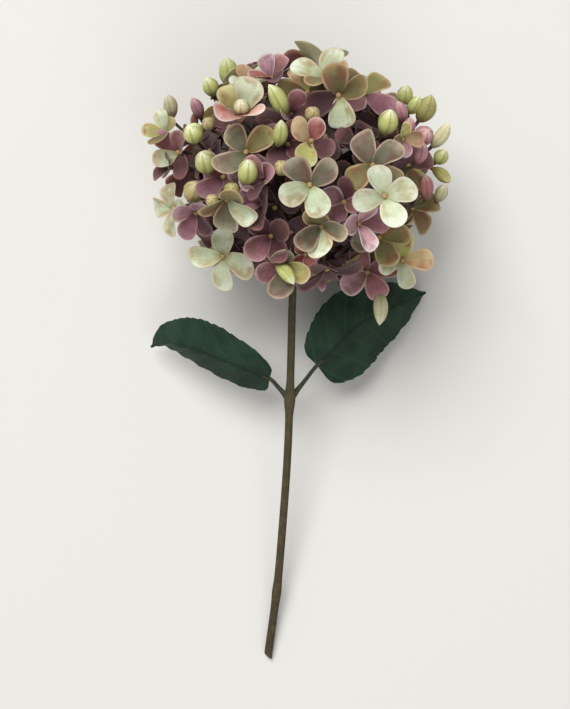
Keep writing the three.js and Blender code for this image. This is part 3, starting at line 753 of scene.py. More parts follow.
@dataclass(frozen=True)
class LeafFinish:
    """A mature hydrangea leaf: deep green, leathery and matt, with impressed veins and puckered tissue.

    Attributes:
        name: the material's name.
        blade: the colour of the upper face.
        shade: the colour of its darker patches.
        vein: the colour along the side veins, and along the midrib on the underside.
        crease: painted shade along the midrib on the face, where the blade folds and lies in its own shade.
        back: the colour of the underside, paler than the face.
    """

    name: str
    blade: str
    shade: str
    vein: str
    crease: str
    back: str

    PUCKER = 1.6  # millimetres between the puckers of the tissue
    PUCKER_DEPTH = 0.35  # millimetres
    PATCH = 14.0  # millimetres between darker patches

    def material(self) -> bpy.types.Material:
        """The node material, which reads the leaf's own two parameters and the mark back.

        A side vein runs where VEIN_PAIRS * (v - VEIN_LEAD * |2 u - 1|) is a whole number.

        Returns:
            The material.
        """
        material, tree, place = blank_material(self.name)
        sideways, along = parameters(tree)
        back = node(tree, "ShaderNodeAttribute", {"attribute_name": "back"}).outputs["Fac"]
        centring = {1: 2.0, 2: -1.0}
        centred = node(tree, "ShaderNodeMath", MULTIPLY_ADD, centring, {0: sideways}).outputs[0]
        across = node(tree, "ShaderNodeMath", ABSOLUTE, links={0: centred}).outputs[0]
        forward = {0: across, 2: along}
        leading = node(tree, "ShaderNodeMath", MULTIPLY_ADD, {1: -VEIN_LEAD}, forward).outputs[0]
        pairs = node(tree, "ShaderNodeMath", MULTIPLY, {1: float(VEIN_PAIRS)}, {0: leading}).outputs[0]
        beside = node(tree, "ShaderNodeMath", {"operation": "PINGPONG"}, {1: 0.5}, {0: pairs}).outputs[0]
        fading = {"From Min": 0.02, "From Max": 0.1, "To Min": 0.3, "To Max": 0.0}
        side_veins = node(tree, "ShaderNodeMapRange", SMOOTH, fading, {"Value": beside}).outputs[0]
        narrowing = {"From Min": 0.02, "From Max": 0.08, "To Min": 0.6, "To Max": 0.0}
        midrib = node(tree, "ShaderNodeMapRange", SMOOTH, narrowing, {"Value": across}).outputs[0]
        mottle = {"Scale": per(self.PATCH), "Detail": 3.0}
        patches = node(tree, "ShaderNodeTexNoise", None, mottle, {"Vector": place}).outputs[0]
        spreading = {"From Min": 0.35, "From Max": 0.65}
        spread = node(tree, "ShaderNodeMapRange", SMOOTH, spreading, {"Value": patches}).outputs[0]

        # along the midrib: painted shade on the face, where the fold lies in its own shade, and a pale vein
        # on the underside
        ribbing = {MIX_A: linear(self.crease), MIX_B: linear(self.vein)}
        midrib_shade_and_vein = node(tree, "ShaderNodeMix", COLOURS, ribbing, {MIX_FACTOR: back}).outputs[MIX_RESULT]
        facing = {MIX_A: linear(self.blade), MIX_B: linear(self.shade)}
        colour = node(tree, "ShaderNodeMix", COLOURS, facing, {MIX_FACTOR: spread}).outputs[MIX_RESULT]
        for factor, code in ((back, self.back), (side_veins, self.vein)):
            below = {MIX_FACTOR: factor, MIX_A: colour}
            laid = node(tree, "ShaderNodeMix", COLOURS, {MIX_B: linear(code)}, below)
            colour = laid.outputs[MIX_RESULT]
        # lays the painted shade of the fold, or the underside's vein, along the midrib
        creasing = {MIX_FACTOR: midrib, MIX_A: colour, MIX_B: midrib_shade_and_vein}
        creased = node(tree, "ShaderNodeMix", COLOURS, None, creasing).outputs[MIX_RESULT]

        puckers = {"Scale": per(self.PUCKER), "Smoothness": 0.6}
        cells = node(tree, "ShaderNodeTexVoronoi", {"feature": "SMOOTH_F1"}, puckers, {"Vector": place})
        bumping = {"Strength": 0.5, "Distance": self.PUCKER_DEPTH * MM}
        bump = node(tree, "ShaderNodeBump", {"invert": True}, bumping, {"Height": cells.outputs[0]})
        skin = {"Roughness": 0.6, "Specular IOR Level": 0.18}
        inputs = {"Base Color": creased, "Normal": bump.outputs[0]}
        shader = node(tree, "ShaderNodeBsdfPrincipled", None, skin, inputs)
        node(tree, "ShaderNodeOutputMaterial", links={"Surface": shader.outputs[0]})
        return material


@dataclass(frozen=True)
class CutFinish:
    """The cut end of the stem: pale pith inside a ring of cream wood and a thin dark bark.

    Attributes:
        name: the material's name.
        pith: the colour of the middle.
        wood: the colour of the ring.
        bark: the colour of the edge.
    """

    name: str
    pith: str
    wood: str
    bark: str

    FIBRE = 0.4  # millimetres between the wood's fibres
    WAVER = 0.12  # how far they blur the rings, as a share of the radius
    ROUGHENING = 0.15  # millimetres from the fibres' floor to their crest

    def material(self) -> bpy.types.Material:
        """The node material, which reads how far from the middle a point is, as the second parameter.

        Returns:
            The material.
        """
        material, tree, place = blank_material(self.name)
        _, outwards = parameters(tree)
        grain = {"Scale": per(self.FIBRE), "Detail": 2.0}
        fibres = node(tree, "ShaderNodeTexNoise", None, grain, {"Vector": place}).outputs[0]
        wavering = node(tree, "ShaderNodeMath", MULTIPLY_ADD, {1: self.WAVER}, {0: fibres, 2: outwards})
        stops = ((0.3, self.pith), (0.5, self.wood), (0.84, self.wood), (0.95, self.bark))
        rings = node(tree, "ShaderNodeValToRGB", links={0: wavering.outputs[0]}, stops=stops)
        bumping = {"Strength": 0.8, "Distance": self.ROUGHENING * MM}
        bump = node(tree, "ShaderNodeBump", None, bumping, {"Height": fibres})
        surface = {"Roughness": 0.85, "Specular IOR Level": 0.2}
        inputs = {"Base Color": rings.outputs[0], "Normal": bump.outputs[0]}
        shader = node(tree, "ShaderNodeBsdfPrincipled", None, surface, inputs)
        node(tree, "ShaderNodeOutputMaterial", links={"Surface": shader.outputs[0]})
        return material


@dataclass(frozen=True)
class FloorFinish:
    """A painted floor: pale, even and matt, with only a trace of roller texture.

    Attributes:
        name: the material's name.
        paint: its colour.
    """

    name: str
    paint: str

    NAP = 1.5  # millimetres between the roller's marks
    NAP_DEPTH = 0.1  # millimetres

    def material(self) -> bpy.types.Material:
        """The node material.

        Returns:
            The material.
        """
        material, tree, place = blank_material(self.name)
        marks = {"Scale": per(self.NAP), "Detail": 2.0}
        nap = node(tree, "ShaderNodeTexNoise", None, marks, {"Vector": place})
        bumping = {"Strength": 0.2, "Distance": self.NAP_DEPTH * MM}
        bump = node(tree, "ShaderNodeBump", None, bumping, {"Height": nap.outputs[0]})
        surface = {"Base Color": linear(self.paint), "Roughness": 0.8, "Specular IOR Level": 0.2}
        shader = node(tree, "ShaderNodeBsdfPrincipled", None, surface, {"Normal": bump.outputs[0]})
        node(tree, "ShaderNodeOutputMaterial", links={"Surface": shader.outputs[0]})
        return material


class Tint(Enum):
    """The finishes of the sepals and the buds."""

    # name, foot, blade, tip, rim, blotch, freckle, back
    MINT = SepalFinish("mint", "#97a070", "#bac2a2", "#e2e8d0", "#dec8a8", "#a39168", "#96846a", "#b8bd96")
    CREAM = SepalFinish("cream", "#a9b384", "#cbd3b5", "#e6edd5", "#eae0c8", "#b7b388", "#b39c78", "#cccaa2")
    SAGE = SepalFinish("sage", "#5f6040", "#736f58", "#aca68c", "#d2b8a0", "#755846", "#5e493a", "#777254")
    OLIVE = SepalFinish("olive", "#665e32", "#736a42", "#988c5c", "#c2a67e", "#7c543a", "#573c2c", "#857d50")
    LIME = SepalFinish("lime", "#8f914a", "#aaa668", "#cfca96", "#dcc796", "#96724a", "#84663c", "#a8a360")
    TAN = SepalFinish("tan", "#a0965e", "#b59e76", "#d8bd98", "#deb294", "#a46c50", "#866346", "#9f8a5e")
    CORAL = SepalFinish("coral", "#80453f", "#a86a62", "#cfa096", "#e6c8c0", "#7f3f38", "#703631", "#a0645a")
    BLUSH = SepalFinish("blush", "#98503f", "#c98f84", "#e0c0b6", "#ecd8d0", "#b0604f", "#7c3a34", "#b0665a")
    PINK = SepalFinish("pink", "#8c5a60", "#c39aa2", "#e6cfd2", "#f0e0e0", "#94686a", "#80505a", "#b98f94")
    ROSE = SepalFinish("rose", "#7c5056", "#a67c84", "#cfacb0", "#e6cccc", "#7a5852", "#70434a", "#987074")
    MAUVE = SepalFinish("mauve", "#5c353a", "#87575f", "#ab808a", "#c09799", "#6e4a42", "#532d35", "#7a4f54")
    WINE = SepalFinish("wine", "#371d20", "#532f34", "#754e53", "#8a5f63", "#4c332d", "#321a1f", "#4f2f32")
    # a near-black wine that stands for painted shade on the florets deep in the head
    DUSK = SepalFinish("dusk", "#241214", "#361e20", "#4a2f30", "#5a3d3d", "#33221e", "#221012", "#3a2324")
    # name, foot, body, tip, freckle
    GREEN_BUD = BudFinish("bud_yellow_green", "#868244", "#bdc076", "#efefcc", "#94844a")
    OLIVE_BUD = BudFinish("bud_olive", "#756c38", "#9e985a", "#c8c088", "#7c5a38")
    PALE_BUD = BudFinish("bud_pale", "#97906a", "#c2bd95", "#ebe2c6", "#8d7b58")
    TAN_BUD = BudFinish("bud_tan", "#8a7a48", "#b5a674", "#d9c79c", "#94703f")
    PINK_BUD = BudFinish("bud_pink", "#84504c", "#b3828a", "#e0bdb8", "#8f5054")
    CORAL_BUD = BudFinish("bud_coral", "#744340", "#a86d6b", "#d6aca6", "#7c3f3a")


EYE_BEAD = BudFinish("eye_bead", "#6f5f38", "#a08455", "#b99a6c", "#6f4a2c")
FLOWER_STALK = StalkFinish("flower_stalk_green", "#6c6a44", "#4c4430", "#4a3030", 0.7, 5, 7.0, 0.1)
LEAF_STALK = StalkFinish("leaf_stalk_green", "#34412b", "#423f28", "#2a3022", 0.7, 5, 4.0, 0.12)
STEM_BARK = StalkFinish("stem_bark", "#413f27", "#413722", "#54472e", 0.72, 9, 4.5, 0.25)
STEM_CUT = CutFinish("stem_cut_wood", "#cfc7a0", "#b5a778", "#4a3d28")
# the fourth colour is painted shade for the fold along the midrib
LEAF_BLADE = LeafFinish("leaf_blade_green", "#263e2d", "#1e3225", "#344d39", "#15241a", "#40583f")
PALE_FLOOR = FloorFinish("floor_matt_paint", "#dcdad4")


# ------------------------------------------------------------------------------------------- flower head
class Form(Enum):
    """How far a flower stands open.

    The values are its sepals' angle above its own plane at the foot and at the tip, in degrees, and how much
    their sides curl up, as a share of the half width.
    """

    OPEN = (30.0, -12.0, 0.26)
    HALF = (48.0, 16.0, 0.34)
    CUP = (70.0, 24.0, 0.3)
    PRESSED = (0.0, 0.0, 0.0)
    BUD = None


@dataclass(frozen=True)
class Bloom:
    """One flower of the side that faces up, laid out from the camera's place.

    Attributes:
        x: where it is seen against the level plane through the head's middle, to the right.
        y: the same, towards the head's top.
        share: how far out it stands, as a share of the head's radius.
        face_x: the x of the way it faces, of a vector of length 1.
        face_y: the y of the same.
        turn: the direction of its first sepal in degrees.
        form: how far open it is.
        width: millimetres across.
        tints: the finishes of its four sepals, or the one of them all.
        length: a bud's length.
    """

    x: float
    y: float
    share: float
    face_x: float
    face_y: float
    turn: float
    form: Form
    width: float
    tints: tuple[Tint, ...]
    length: float = 0.0


@dataclass(frozen=True)
class Flower:
    """A flower in its place.

    Attributes:
        at: its middle.
        facing: the way it faces.
        turn: the direction of its first sepal in radians.
        form: how far open it is.
        width: millimetres across.
        length: of its sepals, or of the bud.
        tints: the finishes of its four sepals, the first of them a bud's.
    """

    at: Array
    facing: Array
    turn: float
    form: Form
    width: float
    length: float
    tints: tuple[Tint, ...]


MINT, CREAM, SAGE, OLIVE, LIME = (Tint.MINT,), (Tint.CREAM,), (Tint.SAGE,), (Tint.OLIVE,), (Tint.LIME,)
TAN, CORAL, BLUSH, PINK = (Tint.TAN,), (Tint.CORAL,), (Tint.BLUSH,), (Tint.PINK,)
ROSE, MAUVE, WINE, DUSK = (Tint.ROSE,), (Tint.MAUVE,), (Tint.WINE,), (Tint.DUSK,)
GREEN_BUD, OLIVE_BUD, PALE_BUD = (Tint.GREEN_BUD,), (Tint.OLIVE_BUD,), (Tint.PALE_BUD,)
TAN_BUD, PINK_BUD, CORAL_BUD = (Tint.TAN_BUD,), (Tint.PINK_BUD,), (Tint.CORAL_BUD,)

# The flowers of the upper side. Each has its solid in the frame.
UPPER_SIDE = (
    # the top of the head, left to right
    Bloom(-68, 36, 1.0, -0.15, 0.8, 0, Form.BUD, 8, PALE_BUD, 14),
    Bloom(-70, 22, 1.03, -0.4, 0.35, 95, Form.HALF, 27, MINT + LIME + OLIVE + LIME),
    Bloom(-54, 35, 1.0, -0.35, 0.75, 0, Form.BUD, 7, PINK_BUD, 13),
    Bloom(-56, 22, 1.02, -0.25, 0.45, 0, Form.BUD, 11, GREEN_BUD, 12),
    Bloom(-47, 46, 1.0, -0.35, 0.7, 0, Form.BUD, 9, GREEN_BUD, 12),
    Bloom(-38, 54, 1.0, -0.1, 0.85, 0, Form.BUD, 11, GREEN_BUD, 16),
    Bloom(-36, 42, 1.02, -0.05, 0.75, 0, Form.BUD, 9, OLIVE_BUD, 13),
    Bloom(-31, 28, 1.05, 0.0, 0.6, 47, Form.CUP, 44, MINT + LIME + BLUSH + BLUSH),
    Bloom(-27, 46, 0.97, 0.1, 0.5, 20, Form.HALF, 27, CREAM + TAN + CREAM + MINT),
    Bloom(-15, 50, 1.0, -0.1, 0.6, 125, Form.HALF, 29, PINK + CORAL + WINE + MAUVE),
    Bloom(-12, 39, 1.04, -0.42, 0.72, 0, Form.BUD, 9, GREEN_BUD, 19),
    Bloom(-11, 22, 1.02, 0.15, 0.75, 0, Form.BUD, 8, GREEN_BUD, 15),
    Bloom(12, 50, 1.03, -0.1, 0.6, 62, Form.HALF, 35, MINT + MINT + OLIVE + TAN),
    Bloom(20, 42, 1.03, 0.05, -0.5, 284, Form.OPEN, 37, MINT + OLIVE + OLIVE + WINE),
    Bloom(33, 42, 0.94, 0.2, 0.5, 48, Form.OPEN, 38, OLIVE + OLIVE + MAUVE + MAUVE),
    Bloom(45, 28, 1.02, 0.2, 0.6, 0, Form.BUD, 10.5, GREEN_BUD, 16),
    Bloom(54, 42, 1.0, 0.1, 0.7, 0, Form.BUD, 9, GREEN_BUD, 12),
    Bloom(59, 37, 1.02, 0.45, 0.65, 0, Form.BUD, 8, GREEN_BUD, 12),
    Bloom(65, 35, 1.0, 0.4, 0.8, 0, Form.BUD, 11, OLIVE_BUD, 16),
    Bloom(52, 33, 1.04, -0.25, 0.75, 0, Form.BUD, 7, PINK_BUD, 13),
    Bloom(56, 25, 1.04, 0.15, 0.75, 0, Form.BUD, 7, PINK_BUD, 12),
    Bloom(64, 21, 1.0, 0.35, 0.3, 0, Form.BUD, 11, PINK_BUD, 11),
    Bloom(53, 19, 1.0, 0.5, -0.2, 10, Form.HALF, 22, TAN + LIME + OLIVE + ROSE),
    Bloom(74, 21, 1.0, 0.55, 0.75, 0, Form.BUD, 8, PALE_BUD, 16),
    # across the middle
    Bloom(-28, 12, 0.98, 0.0, 0.05, 38, Form.OPEN, 35, OLIVE + SAGE + SAGE + WINE),
    Bloom(-50, 7, 1.04, -0.1, 0.5, 0, Form.BUD, 11, GREEN_BUD, 15),
    Bloom(-28, 2, 1.06, 0.15, 0.6, 0, Form.BUD, 10.5, GREEN_BUD, 16),
    Bloom(-63, 12, 0.88, -0.5, -0.1, 130, Form.HALF, 34, MAUVE + MINT + WINE + MAUVE),
    Bloom(-67, 4, 0.9, -0.8, 0.1, 30, Form.HALF, 22, WINE + ROSE + WINE + WINE),
    Bloom(6, 18, 0.96, -0.05, -0.1, 62, Form.HALF, 32, CORAL + TAN + LIME + WINE),
    Bloom(5, -5, 1.11, 0.0, 0.02, 27, Form.OPEN, 37, SAGE + SAGE + MINT + MINT),
    Bloom(38, 5, 0.94, -0.05, 0.25, 40, Form.OPEN, 38, SAGE + SAGE + OLIVE + OLIVE),
    Bloom(44, -11, 1.12, 0.05, 0.2, 14, Form.OPEN, 37, CREAM),
    Bloom(62, 12, 1.02, 0.2, 0.75, 0, Form.BUD, 8, PINK_BUD, 13),
    Bloom(65, -6, 1.0, -0.1, 0.8, 0, Form.BUD, 8, CORAL_BUD, 15),
    Bloom(73, 10, 1.0, 0.5, 0.6, 0, Form.BUD, 8, GREEN_BUD, 10),
    Bloom(74, 0, 1.0, 0.6, -0.6, 0, Form.BUD, 7, OLIVE_BUD, 14),
    Bloom(73, -9, 1.0, 0.3, 0.7, 0, Form.BUD, 7, PALE_BUD, 12),
    Bloom(58, -17, 0.92, 0.5, 0.0, 300, Form.OPEN, 36, OLIVE + OLIVE + WINE + OLIVE),
    Bloom(-17, -3, 0.94, -0.6, 0.1, 100, Form.CUP, 34, MAUVE + ROSE + WINE + MAUVE),
    # below the middle
    Bloom(-56, -8, 1.02, 0.35, 0.5, 0, Form.BUD, 11, TAN_BUD, 13),
    Bloom(-46, -13, 1.04, 0.0, 0.2, 0, Form.BUD, 7, TAN_BUD, 7),
    Bloom(-36, -8, 1.04, 0.2, 0.4, 0, Form.BUD, 9, OLIVE_BUD, 10),
    Bloom(-65, -17, 0.98, -0.65, -0.1, 100, Form.OPEN, 32, MINT),
    Bloom(-54, -19, 1.0, -0.2, -0.6, 60, Form.HALF, 30, ROSE + ROSE + MAUVE + WINE),
    Bloom(-38, -12, 1.04, 0.05, -0.78, 252, Form.HALF, 38, SAGE + MINT + OLIVE + OLIVE),
    Bloom(-19, -15, 0.89, -0.55, -0.2, 100, Form.CUP, 36, MAUVE + ROSE + WINE + WINE),
    Bloom(-15, -31, 0.88, -0.15, -0.4, 40, Form.HALF, 35, WINE + WINE + MAUVE + WINE),
    Bloom(-40, -42, 1.0, -0.3, -0.3, 355, Form.OPEN, 38, MINT + MINT + MINT + CREAM),
    Bloom(11, -26, 1.07, 0.0, -0.5, 10, Form.HALF, 38, SAGE + OLIVE + SAGE + MINT),
    Bloom(23, -14, 0.87, -0.1, 0.05, 150, Form.HALF, 31, ROSE + MAUVE + MAUVE + WINE),
    Bloom(30, -25, 1.0, 0.62, -0.1, 275, Form.HALF, 36, PINK + MAUVE + PINK + ROSE),
    Bloom(41, -32, 0.91, 0.2, -0.2, 15, Form.OPEN, 36, OLIVE + SAGE + SAGE + OLIVE),
    Bloom(53, -44, 1.14, 0.3, -0.15, 5, Form.OPEN, 36, TAN + LIME + MINT + CREAM),
    Bloom(21, -48, 0.82, 0.0, -0.6, 20, Form.OPEN, 32, OLIVE + WINE + OLIVE + WINE),
    Bloom(35, -50, 0.96, 0.0, -0.4, 212, Form.OPEN, 38, ROSE + MAUVE + MAUVE + MAUVE),
    Bloom(-9, -47, 1.02, 0.0, -0.5, 275, Form.HALF, 38, SAGE + LIME + SAGE + MAUVE),
    Bloom(-8, -51, 1.16, 0.55, -0.65, 0, Form.BUD, 7.5, GREEN_BUD, 17),
    Bloom(11, -57, 0.98, 0.1, -0.8, 0, Form.BUD, 5, PINK_BUD, 9),
    Bloom(41, -69, 0.98, 0.0, -0.92, 0, Form.BUD, 8.5, PALE_BUD, 20),
)

# Flowers that stand back between those above and show only in part, and the bud in the cup-shaped one.
RECESSED = (
    Bloom(-31, 36, 1.2, 0.0, 0.6, 0, Form.BUD, 8, PALE_BUD, 8),
    Bloom(4, 43, 0.9, 0.0, 0.35, 20, Form.OPEN, 34, OLIVE + TAN + OLIVE + OLIVE),
    Bloom(39, 36, 0.84, 0.25, 0.1, 285, Form.OPEN, 32, MAUVE + SAGE + MAUVE + MAUVE),
    Bloom(-5, 32, 0.82, 0.4, 0.0, 90, Form.CUP, 34, MAUVE + ROSE + WINE + WINE),
    Bloom(-6, 16, 0.84, -0.2, 0.0, 60, Form.HALF, 32, WINE + MAUVE + WINE + WINE),
    Bloom(40, 22, 0.76, 0.2, 0.1, 70, Form.HALF, 32, WINE),
    Bloom(-40, -1, 0.86, 0.1, 0.1, 50, Form.OPEN, 34, MAUVE),
    Bloom(-27, -36, 0.78, 0.2, -0.3, 280, Form.OPEN, 34, WINE + MAUVE + WINE + WINE),
    Bloom(3, -41, 0.88, 0.0, -0.4, 30, Form.HALF, 22, CORAL),
    Bloom(6, 32, 1.0, 0.2, 0.3, 0, Form.BUD, 8, TAN_BUD, 9),
    Bloom(56, 5, 0.86, 0.45, 0.0, 20, Form.OPEN, 32, WINE + MAUVE + WINE + OLIVE),
    Bloom(-48, 27, 1.0, -0.1, 0.3, 0, Form.BUD, 7, TAN_BUD, 8),
    Bloom(-10, 4, 1.02, 0.0, 0.2, 0, Form.BUD, 8, TAN_BUD, 9),
)

LOWER_FORMS = (Form.OPEN, Form.HALF, Form.OPEN, Form.BUD, Form.OPEN, Form.OPEN, Form.HALF, Form.BUD)
LOWER_TINTS = (WINE, CREAM, MAUVE, GREEN_BUD, OLIVE, ROSE, SAGE, PINK_BUD, MINT, MAUVE, LIME, OLIVE_BUD)
# the inner layer is mostly painted shade: near-black tints for the florets deep in the recesses
INNER_TINTS = (DUSK, WINE, DUSK, DUSK, MAUVE, DUSK, WINE)

# For a bud whose place in LOWER_TINTS names a sepal's finish, and for a floret whose place names a bud's.
SPARE_BUD_TINTS = (GREEN_BUD, PINK_BUD, OLIVE_BUD, TAN_BUD)
SPARE_SEPAL_TINTS = (MINT, MAUVE, TAN, SAGE)

# The one floret under the head, which lies flat on the floor under its weight.
PRESSED_FLORET = Flower(
    at=np.array([0.0, -6.0, 0.45]),
    facing=np.array([0.0, 0.0, -1.0]),
    turn=math.radians(20),
    form=Form.PRESSED,
    width=38.0,
    length=19.0,
    tints=SAGE,
)


def gathered(flowers: Sequence[Flower], *names: str) -> list[Array]:
    """Named fields of some flowers, each as one array with a row for every flower."""
    return [np.array([getattr(flower, name) for flower in flowers]) for name in names]


def parted(flowers: Sequence[Flower]) -> tuple[list[Flower], list[Flower]]:
    """The florets and the buds among some flowers, in their order."""
    florets = [flower for flower in flowers if flower.form is not Form.BUD]
    return florets, [flower for flower in flowers if flower.form is Form.BUD]


@dataclass
class SepalSheets:
    """Sepals as thin closed sheets, four round the eye of each floret.

    Attributes:
        rows: points along a sepal.
        columns: points across it.
        half_width: of the broadest sepal, as a share of its length.
        thickness: of the sheet at its middle.
        seed: for the small differences between sepals.
    """

    rows: int = 7
    columns: int = 5
    half_width: float = 0.37
    thickness: float = 0.5
    seed: int = 11

    SEPALS = 4
    FOOT = 0.05  # where a sheet starts, along the sepal
    BROADEST = 0.62  # where it is broadest, and where its round tip starts
    CORNER = math.radians(58)  # how far round the tip the two sides of the sheet end
    CROSSING = 0.3  # how far every other sepal lies below its neighbours, in millimetres
    NO_BEND = 1e-6  # added to every bend, so that none is 0
    FOOT_ROOM = 0.02  # how much more than its distance from the eye a sheet's half width may be

    # How the sepals differ: the least and the most, or a standard deviation.
    FOOT_ANGLES = 4.0  # degrees
    TIP_ANGLES = 14.0  # degrees
    CURLS = (0.2, 1.8)  # of the form's own curl
    LENGTHS = (0.86, 1.03)  # of the floret's own
    WIDTHS = (0.9, 1.12)  # of half_width
    WAVE_HEIGHTS = (0.3, 1.0)  # of WAVE
    TWISTS = 0.16  # radians at the tip
    SKEWS = 0.12  # how far the tip lies aside, of the length
    TURNS = 0.08  # radians round the eye

    WAVE = 0.07  # the highest wave along a margin, of the length
    WAVES = 1.6  # how many there are from foot to tip
    CREASE = 0.05  # how deep the fold down the middle is at the foot, of the length
    CREASE_WIDTH = 0.3  # how far it reaches to each side, of the half width
    THINNING = 0.6  # how much of the thickness is gone at the edge

    def outline(self, s: Array) -> Array:
        """The half width at s, as a share of the most: (s / broadest)^0.5, then the arc of the tip."""
        arc = np.clip((s - self.BROADEST) / (1 - self.BROADEST), 0, 1)
        return np.minimum(s / self.BROADEST, 1) ** 0.5 * np.sqrt(1 - arc**2)

    def made(self, flowers: Sequence[Flower]) -> tuple[Shell, list[Tint]]:
        """The sheets of some florets.

        The side of a sheet ends at the angle CORNER of the tip's arc, so its last row lies on that arc. In a
        row, s runs from the side's to the middle's by (cos(a corner) - cos(corner)) / (1 - cos(corner)), and
        the point lies sin(a corner) / sin(corner) of the half width out.

        The middle line is an arc whose angle above the floret's plane goes evenly from foot to tip:
        r = (sin(lean) - sin(foot)) / bend and z = (cos(foot) - cos(lean)) / bend. Across it, a point is
        lifted by curl * half * a^2 and by a wave along the margin, and let down by a shallow crease. The
        upper and the lower side are that surface moved by half the thickness to each side.

        Args:
            flowers: the florets, none of them buds.

        Returns:
            The shell, and the finishes that its slots stand for.
        """
        draws = np.random.default_rng(self.seed)
        size = (len(flowers), self.SEPALS, 1, 1)
        each_floret = (-1, 1, 1, 1)
        forms = np.array([flower.form.value for flower in flowers])
        pressed = np.array([flower.form is Form.PRESSED for flower in flowers])
        loose = np.where(pressed, 0.0, 1.0).reshape(each_floret)
        at, facing, turn, own_length = gathered(flowers, "at", "facing", "turn", "length")
        foot_angle, tip_angle, own_curl = (forms[:, k].reshape(each_floret) for k in range(3))
        foot = np.radians(foot_angle + loose * draws.normal(0, self.FOOT_ANGLES, size))
        tip = np.radians(tip_angle + loose * draws.normal(0, self.TIP_ANGLES, size))
        curl = own_curl * draws.uniform(*self.CURLS, size)
        length = own_length.reshape(each_floret) * draws.uniform(*self.LENGTHS, size)
        width = self.half_width * draws.uniform(*self.WIDTHS, size)
        wave = self.WAVE * loose * draws.uniform(*self.WAVE_HEIGHTS, size)
        phase = draws.uniform(0, 1, size)
        twist = loose * draws.normal(0, self.TWISTS, size)
        skew = loose * draws.normal(0, self.SKEWS, size)

        t_line, a_line = np.linspace(0, 1, self.rows), np.linspace(-1, 1, self.columns)
        t_grid, a_grid = np.meshgrid(t_line, a_line, indexing="ij")
        corner = self.BROADEST + (1 - self.BROADEST) * math.cos(self.CORNER)
        side = self.FOOT + (corner - self.FOOT) * t_grid
        middle = self.FOOT + (1 - self.FOOT) * t_grid
        bulge = (np.cos(a_grid * self.CORNER) - math.cos(self.CORNER)) / (1 - math.cos(self.CORNER))
        s_grid = side + (middle - side) * bulge
        bend = tip - foot + self.NO_BEND
        lean = foot + bend * s_grid
        r = (np.sin(lean) - np.sin(foot)) / bend
        z = (np.cos(foot) - np.cos(lean)) / bend
        room = (np.sin(foot + bend * side) - np.sin(foot)) / bend + self.FOOT_ROOM
        half = np.minimum(width * self.outline(side), room) * length
        sideways = half * np.sin(a_grid * self.CORNER) / math.sin(self.CORNER)
        swing = np.sin(2 * math.pi * (self.WAVES * s_grid * np.sign(a_grid) + phase))
        ripple = wave * length * swing * a_grid**2
        crease = self.CREASE * length * np.exp(-((a_grid / self.CREASE_WIDTH) ** 2)) * (1 - s_grid)
        lift = curl * half * a_grid**2 + ripple * s_grid - loose * crease
        sides = np.array([1.0, -1.0]).reshape(2, 1, 1, 1, 1)
        thinning = 1 - self.THINNING * np.maximum(np.abs(a_grid), t_grid) ** 6
        raised = lift + sides * (self.thickness / 2) * thinning
        level = self.CROSSING * (0.5 - np.arange(self.SEPALS) % 2).reshape(1, -1, 1, 1)
        outwards = r * length - raised * np.sin(lean)
        upwards = z * length + raised * np.cos(lean) + level + sideways * np.sin(twist * s_grid)
        sideways = sideways + skew * s_grid**2 * length

        quarter = (math.pi / 2) * np.arange(self.SEPALS).reshape(1, -1, 1, 1)
        angle = turn.reshape(each_floret) + quarter + draws.normal(0, self.TURNS, size) * loose
        x = outwards * np.cos(angle) - sideways * np.sin(angle)
        y = outwards * np.sin(angle) + sideways * np.cos(angle)
        u, v, w = (axis[:, None, None, None] for axis in axes_along(facing))
        points = at[:, None, None, None] + x[..., None] * u + y[..., None] * v + upwards[..., None] * w
        points = np.moveaxis(points, 0, 2)  # the two sides come after floret and sepal

        count = len(flowers) * self.SEPALS
        each = 2 * self.rows * self.columns
        back = np.broadcast_to(np.array([0.0, 1.0]).reshape(1, 2, 1), (count, 2, each // 2))
        tone = np.repeat(draws.uniform(0, 1, count), each)
        pair = np.stack([(a_grid + 1) / 2, t_grid], axis=-1)
        uv = np.broadcast_to(pair, (count, 2, self.rows, self.columns, 2))
        faces = [repeated(part, count, each) for part in sheet_faces(self.rows, self.columns)]
        used = sorted({tint for flower in flowers for tint in flower.tints}, key=lambda tint: tint.name)
        finishes = [(flower.tints * self.SEPALS)[k] for flower in flowers for k in range(self.SEPALS)]
        finish = np.array([used.index(tint) for tint in finishes])
        slots = [np.repeat(finish, len(part) // count) for part in faces]
        marks = {"tone": tone, "back": back.reshape(-1)}
        return Shell(points.reshape(-1, 3), faces, uv.reshape(-1, 2), marks, slots), used


@dataclass(frozen=True)
class Spiral:
    """A layer of flowers that stand on the golden-angle spiral over the head.

    Attributes:
        count: how many points the spiral has on the whole ball.
        top: the height on the unit ball above which no flower stands.
        spacing: the least distance between two flowers' middles.
        share: how far out they stand, of the head's radius.
        seed: for their nods, turns and sizes.
    """

    count: int
    top: float
    spacing: float
    share: float
    seed: int


